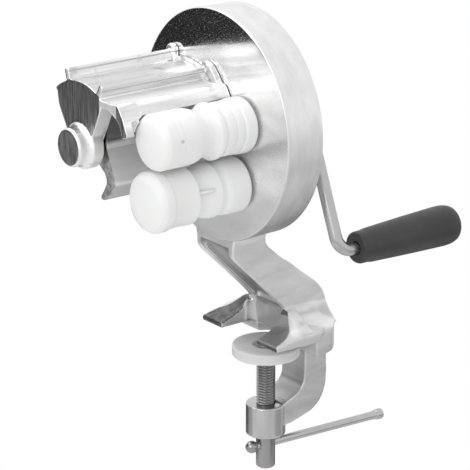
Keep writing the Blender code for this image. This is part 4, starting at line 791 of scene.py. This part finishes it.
# Cutter. Three hooked blades round a hub, cast in pale aluminium and pinned to the cutter's shaft. The blades
# are ground along their length, and the front end is left as sawn.
BLADE = ((-4.0, 3.3), (6.7, 3.3), (8.3, 0.6), (18.2, -20.6), (8.4, -32.2), (4.2, -33.1), (2.8, -31.7),
         (6.5, -26.7), (9.1, -22.2), (8.8, -18.0), (4.3, -14.4), (0, -11.4), (-4.0, -7.4))
BLADE_COUNT, BLADE_START, BLADE_END, BLADE_BEVEL, CUTTER_HUB = 3, 1.5, 63.7, 0.4, 9.8
blade_outline = softened(BLADE, 1.8, 4, True)
cutter_form = bmesh.new()
for number in range(BLADE_COUNT):
    turn = math.tau * number / BLADE_COUNT
    outline = [(point.x * math.cos(turn) - point.y * math.sin(turn),
                point.x * math.sin(turn) + point.y * math.cos(turn)) for point in blade_outline]
    slab(cutter_form, outline, ROTOR, BLADE_START, BLADE_END)
blade_front = FACE - (BLADE_END - 0.01) * MM
front_edges = [edge for edge in cutter_form.edges if all(corner.co.y < blade_front for corner in edge.verts)]
bmesh.ops.bevel(cutter_form, geom=front_edges, offset=BLADE_BEVEL * MM, segments=2, profile=0.5,
                affect="EDGES")
lathe(cutter_form, softened([(0, BLADE_START), (CUTTER_HUB, BLADE_START), (CUTTER_HUB, BLADE_END),
                             (0, BLADE_END)], 0.8), ROTOR, FRONT, 48)
ground_blade = buffed_aluminium("ground_blade", grey(0.96), grey(0.18), 0.26, 0.44, (1, 0.14, 1),
                                cover=0.70, streak=80, blotch=60, depth=0.00005)
ground_blade.node_tree.nodes["Principled BSDF"].inputs["Metallic"].default_value = 0.45
# Painted shadow of the hood on the blades' upper parts, and painted shade on their lowest edges.
painted_shade_along(ground_blade, "Z", 0.1310, 0.1285, 0.9)
painted_shade_along(ground_blade, "Z", 0.1055, 0.1082, 0.5)
sawn_end = buffed_aluminium("sawn_end", grey(0.62), grey(0.16), 0.40, 0.58, (1, 1, 1),
                            cover=0.50, streak=220, blotch=300, depth=0.00009, grain=0.5)
blade_piece = settle("cutter_blades", cutter_form, "cutter", (ground_blade, sawn_end),
                     "cutter", 30)
for polygon in blade_piece.data.polygons:
    polygon.material_index = int(polygon.normal.y < -0.9)


# Rollers. Two turned rollers of white plastic, the upper one with bands and a pin, the lower one with a
# deep groove that three small ribs cross.
UPPER_SHARES = (  # shares of the radius and of the length, front end first
    (0.0, 0.0), (0.46, 0.004), (0.74, 0.015), (0.91, 0.036), (1.0, 0.072),
    (1.0, 0.165), (0.985, 0.173), (1.0, 0.181), (1.0, 0.222), (0.985, 0.230), (1.0, 0.238), (1.0, 0.35),
    (0.975, 0.40), (0.90, 0.455), (0.835, 0.50), (0.86, 0.555), (0.955, 0.595), (1.01, 0.61),
    (1.01, 0.65), (0.955, 0.667), (0.925, 0.694), (0.96, 0.705), (0.965, 0.77), (0.925, 0.783),
    (0.96, 0.797), (0.97, 0.855), (0.93, 0.869), (1.0, 0.885), (1.0, 0.985), (0.965, 1.0), (0, 1.0))
LOWER_SHARES = (
    (0.0, 0.0), (0.46, 0.004), (0.74, 0.016), (0.91, 0.038), (1.0, 0.076), (1.0, 0.157),
    (0.955, 0.173), (0.95, 0.24), (0.94, 0.25), (0.945, 0.33), (0.965, 0.41), (0.965, 0.43),
    (0.775, 0.436), (0.765, 0.475), (0.81, 0.54), (0.89, 0.61), (0.925, 0.68),
    (0.86, 0.694), (0.84, 0.74), (0.89, 0.765), (0.915, 0.79), (0.915, 0.985), (0.88, 1.0), (0, 1.0))
LOWER = places["lower_roller_turn"]
ROLLER_FRONT, ROLLER_LENGTH, UPPER_RADIUS, LOWER_RADIUS = 65.7, 64.2, 16.01, 17.49
RIB_COUNT, RIB_ROOT, RIB_TOP, RIB_HALF, RIB_START, RIB_END = 3, 12.2, 15.8, 0.8, 27.2, 38.7


def moulded_plastic(name, colour, shaded, rough, glow=0.0):
    """Smooth turned or moulded plastic with faint tool rings and clouding."""
    finish = bpy.data.materials.new(name)
    finish.use_nodes = True
    tree = finish.node_tree
    shader = tree.nodes["Principled BSDF"]
    if glow:
        shader.inputs["Subsurface Weight"].default_value = glow
        shader.inputs["Subsurface Radius"].default_value = (1.0, 0.95, 0.9)
        shader.inputs["Subsurface Scale"].default_value = 0.004
    rings = effect(tree, POLISH_MARKS, stretched(tree, (0.05, 1, 0.05)), Streak=400.0, Scratch=2200.0)
    cloud = effect(tree, POLISH_MARKS, stretched(tree, (1, 1, 1)), Streak=50.0, Scratch=300.0)
    tree.links.new(two_tones(tree, cloud["Streaks"], colour, shaded), shader.inputs["Base Color"])
    clouded = remap(tree, cloud["Scratches"], 0.0, 1.0, rough - 0.06, rough + 0.06)
    tree.links.new(clouded, shader.inputs["Roughness"])
    relief(tree, shader, rings["Streaks"], 0.35, 0.00002)
    return finish


def turned_roller(node, shares, radius, place, body, ribs=0):
    """A roller from its profile, with ribs across its groove."""
    form = bmesh.new()
    profile = [(share * radius, ROLLER_FRONT - ROLLER_LENGTH * along) for share, along in shares]
    lathe(form, softened(profile, 0.7, 3), place, FRONT)
    for number in range(ribs):
        turn = math.radians(17) + math.tau * number / ribs
        out = Vector((math.cos(turn), math.sin(turn)))
        aside = Vector((-out.y, out.x)) * RIB_HALF
        outline = [out * RIB_ROOT - aside, out * RIB_TOP - aside,
                   out * RIB_TOP + aside, out * RIB_ROOT + aside]
        slab(form, softened(outline, 0.4, 2, True), place, RIB_START, RIB_END)
    settle(node + "_turned", form, body, (white_roller,), node, 40)


white_roller = moulded_plastic("white_roller", grey(0.90), grey(0.87), 0.34, 0.45)
turned_roller("upper_roller", UPPER_SHARES, UPPER_RADIUS, DRIVE, "crank")
turned_roller("lower_roller", LOWER_SHARES, LOWER_RADIUS, LOWER, "lower_roller", RIB_COUNT)


# Roller pins. A ground steel pin goes through each roller and its shaft. The upper one shows as a small
# dark dot, the lower one at both ends.
PIN_RADIUS, PIN_BACK = 1.0, -11
for node, axis, body, angle, reach in (("upper_roller_pin", DRIVE, "crank", 10.8, 16.15),
                                       ("lower_roller_pin", LOWER, "lower_roller", 80.2, 15.6)):
    low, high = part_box(node)
    turn = math.radians(angle)
    pin_form = bmesh.new()
    lathe(pin_form, softened([(0, PIN_BACK), (PIN_RADIUS, PIN_BACK), (PIN_RADIUS, reach), (0, reach)], 0.3),
          Vector((axis.x, (low.y + high.y) / 2, axis.z)), Vector((math.cos(turn), 0, math.sin(turn))), 24)
    settle(node + "_ground", pin_form, body, (bright_steel,), node, 40)


# Crank. A round steel rod with a satin finish, bent twice by a right angle. One end is screwed into the
# drive shaft, and the grip turns on the other.
ROD_RADIUS, BEND, CRANK_BACK, SHAFT_BACK = 3.75, 9, 45.5, 32.0
SCREWED_IN, NUT_RECESS = 14, 6
GRIP_AXIS = places["grip_spin"]
crank_corners = [Vector((DRIVE.x, FACE + (SHAFT_BACK - SCREWED_IN) * MM, DRIVE.z)),
                 Vector((DRIVE.x, FACE + CRANK_BACK * MM, DRIVE.z)),
                 Vector((GRIP_AXIS.x, FACE + CRANK_BACK * MM, GRIP_AXIS.z)),
                 Vector((GRIP_AXIS.x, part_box("handle_grip")[1].y - NUT_RECESS * MM, GRIP_AXIS.z))]


def bent_path(corners, radius, steps):
    """A path of straight runs joined by round bends."""
    points = [corners[0]]
    for before, corner, after in zip(corners, corners[1:], corners[2:]):
        arrive = (corner - before).normalized()
        leave = (after - corner).normalized()
        middle = corner + (leave - arrive) * radius
        for step in range(steps + 1):
            turn = math.pi / 2 * step / steps
            points.append(middle - leave * radius * math.cos(turn) + arrive * radius * math.sin(turn))
    return points + [corners[-1]]


rod_line = bpy.data.curves.new("crank_rod_bent", "CURVE")
rod_line.dimensions = "3D"
rod_line.bevel_depth = ROD_RADIUS * MM
rod_line.bevel_resolution = 8
rod_line.use_fill_caps = True
rod_spline = rod_line.splines.new("POLY")
rod_points = bent_path(crank_corners, BEND * MM, 14)
rod_spline.points.add(len(rod_points) - 1)
for spot, point in zip(rod_spline.points, rod_points):
    spot.co = (*point, 1)
satin_rod = steel_finish("satin_rod", grey(0.50), grey(0.26), 0.20, 0.38, (0.6, 0.6, 0.35), 95, 0.00003)
rod_line.materials.append(satin_rod)
rod_piece = bpy.data.objects.new("crank_rod_bent", rod_line)
bpy.context.scene.collection.objects.link(rod_piece)
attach(rod_piece, "crank")
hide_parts("crank_rod")


# Lock nut. A thin steel nut, 13 mm across its flats and chamfered on both sides, tightened against the
# shaft's end so that the crank rod can't unscrew.
NUT_BORE, NUT_FRONT, NUT_BACK, NUT_CHAMFER = 3.9, -32.4, -36.2, 0.6
nut_corner = 13 / math.sqrt(3)
nut_form = bmesh.new()
lathe(nut_form, [(NUT_BORE, NUT_FRONT), (nut_corner - NUT_CHAMFER, NUT_FRONT), (nut_corner, NUT_FRONT - 0.5),
                 (nut_corner, NUT_BACK + 0.5), (nut_corner - NUT_CHAMFER, NUT_BACK), (NUT_BORE, NUT_BACK)],
      DRIVE, FRONT, 6, True)
settle("lock_nut", nut_form, "crank", (bright_steel,), "crank_nut", 20)


# Grip. A tapering handle of black moulded plastic with a step at its mouth. It turns freely on the rod,
# and a nut in the recess at its end keeps it there.
GRIP_SHARES = (  # shares of the radius and of the length, mouth first
    (0.34, 0.004), (0.70, 0.0), (0.78, 0.014), (0.79, 0.09), (0.83, 0.12), (0.93, 0.50), (1.0, 0.86),
    (0.985, 0.93), (0.90, 0.98), (0.78, 1.0), (0.54, 1.0), (0.53, 0.945), (0.34, 0.944))
grip_low, grip_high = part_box("handle_grip")
grip_radius = half_width("handle_grip")
grip_length = (grip_high.y - grip_low.y) / MM
grip_profile = [(share * grip_radius, along * grip_length) for share, along in GRIP_SHARES]
grip_form = bmesh.new()
grip_mouth = Vector((GRIP_AXIS.x, grip_low.y, GRIP_AXIS.z))
lathe(grip_form, softened(grip_profile, 1.6, 5), grip_mouth, -FRONT, 72, True)
black_grip = moulded_plastic("black_grip", grey(0.022), grey(0.034), 0.46)
settle("black_handle", grip_form, "grip", (black_grip,), "handle_grip", 40)


# Clamp screw. A steel bar with a rolled thread down to its plain foot, where the tommy bar passes through.
# Its thin neck goes through the pad.
THREAD_PITCH, THREAD_RADIUS, THREAD_DEPTH = 1.75, 5.8, 0.95
THREAD_SIDES, THREAD_STEPS = 48, 10
NECK_RADIUS, NECK_CHAMFER, NECK_DROP = 4, 0.6, 0.8
UP = Vector((0, 0, 1))
screw_low, screw_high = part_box("clamp_screw")
pad_low, pad_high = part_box("clamp_pad")
CLAMP = Vector((0, (screw_low.y + screw_high.y) / 2, 0))
thread_top, thread_end, foot_end = pad_low.z / MM - 0.3, -66.4, screw_low.z / MM
neck_top = pad_high.z / MM - NECK_DROP
screw_form = bmesh.new()
screw_rings = []
for row in range(int((thread_top - thread_end) / THREAD_PITCH * THREAD_STEPS) + 1):
    level = thread_end + row * THREAD_PITCH / THREAD_STEPS
    fade = min(1, (level - thread_end) / 3, max((thread_top - level) / 1.5, 0))
    ring = []
    for side in range(THREAD_SIDES):
        wave = abs(((row / THREAD_STEPS - side / THREAD_SIDES) % 1) - 0.5) * 2
        radius = THREAD_RADIUS - THREAD_DEPTH * fade * min(max(wave * 1.3 - 0.15, 0), 1)
        turn = math.tau * side / THREAD_SIDES
        ring.append((radius * math.cos(turn), CLAMP.y / MM + radius * math.sin(turn), level))
    screw_rings.append(ring)
skin(screw_form, screw_rings)
lathe(screw_form, softened([
    (0, thread_end + 0.02), (THREAD_RADIUS, thread_end + 0.02), (THREAD_RADIUS, foot_end + 1),
    (THREAD_RADIUS - 1, foot_end), (0, foot_end)], 0.6), CLAMP, UP, 64)
lathe(screw_form, [
    (0, thread_top - 0.2), (NECK_RADIUS, thread_top - 0.2), (NECK_RADIUS, neck_top - NECK_CHAMFER),
    (NECK_RADIUS - NECK_CHAMFER, neck_top), (0, neck_top)], CLAMP, UP, 48)
rolled_steel = steel_finish("rolled_steel", grey(0.36), grey(0.16), 0.18, 0.36, (1, 1, 0.5), 90)
settle("threaded_screw", screw_form, "clamp_screw", (rolled_steel,), "clamp_screw", 45)


# Clamp pad. A turned disc of milky plastic, so that it doesn't mark the table. It swivels on the screw's
# neck, and a clip in the shallow pocket in its top holds it.
PAD_BORE, POCKET_RADIUS, POCKET_DEPTH = 4.3, 7.8, 2.6
pad_radius, pad_bottom, pad_top = half_width("clamp_pad"), pad_low.z / MM, pad_high.z / MM
pad_form = bmesh.new()
lathe(pad_form, softened([
    (PAD_BORE, pad_bottom), (pad_radius, pad_bottom), (pad_radius, pad_top), (POCKET_RADIUS, pad_top),
    (POCKET_RADIUS, pad_top - POCKET_DEPTH), (PAD_BORE, pad_top - POCKET_DEPTH)], 1.3, 5, True),
      CLAMP, UP, 96, True)
milky_pad = moulded_plastic("milky_pad", grey(0.73), grey(0.67), 0.34, 0.45)
settle("milky_disc", pad_form, "clamp_pad", (milky_pad,), "clamp_pad", 40)


# Tommy bar. A bright steel bar that slides through the screw's foot. One end is swaged to a swelling, and
# the ball on the other keeps the bar from falling out.
BAR_PROFILE = ((0, -10), (2.5, -10), (2.5, 75.5), (2.7, 80.5), (3.3, 82.5), (3.3, 85.9), (2.6, 86.5),
               (0, 86.5))
BAR_ANGLE = math.radians(5)
bar_low, bar_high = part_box("tommy_bar")
bar_way = Vector((math.sin(BAR_ANGLE), math.cos(BAR_ANGLE), 0))
bar_start = Vector((CLAMP.x, CLAMP.y, (bar_low.z + bar_high.z) / 2))
bar_form = bmesh.new()
lathe(bar_form, softened(BAR_PROFILE, 1.2), bar_start, bar_way, 40)
settle("swaged_bar", bar_form, "tommy_bar", (satin_rod,), "tommy_bar", 40)


# Ball of the tommy bar. It is turned from steel and plated darker than the bar. It is pressed on the bar's
# plain end, so that the bar can't slide out.
BALL_RADIUS, BALL_PLACE, BALL_STEPS = 3.8, -10, 24
ball_turns = [math.pi * step / BALL_STEPS for step in range(1, BALL_STEPS)]
ball_arc = [(BALL_RADIUS * math.sin(turn), BALL_PLACE - BALL_RADIUS * math.cos(turn)) for turn in ball_turns]
ball_form = bmesh.new()
lathe(ball_form, [(0, BALL_PLACE - BALL_RADIUS), *ball_arc, (0, BALL_PLACE + BALL_RADIUS)], bar_start,
      bar_way, 48)
dark_chrome = steel_finish("dark_chrome", (0.36, 0.36, 0.37), grey(0.20), 0.10, 0.22, (1, 1, 1), 60)
settle("bar_ball", ball_form, "tommy_bar", (dark_chrome,), "tommy_ball", 40)


# Inner pieces. The gears, shafts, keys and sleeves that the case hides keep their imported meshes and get
# a finish by their record slot.
aged_bronze = buffed_aluminium("aged_bronze", (0.60, 0.40, 0.20), (0.42, 0.27, 0.13), 0.28, 0.5, (1, 1, 1),
                               streak=50)
finishes = {"steel": bright_steel, "bronze": aged_bronze, "cast_aluminium": satin_casting,
            "white_plastic": white_roller, "black_plastic": black_grip}
for row in frame["record"]["subparts"]:
    node = frame["nodes"][row["node"]]
    if not node.hide_render:
        node.data.materials.clear()
        node.data.materials.append(finishes[row["material_slot"]])
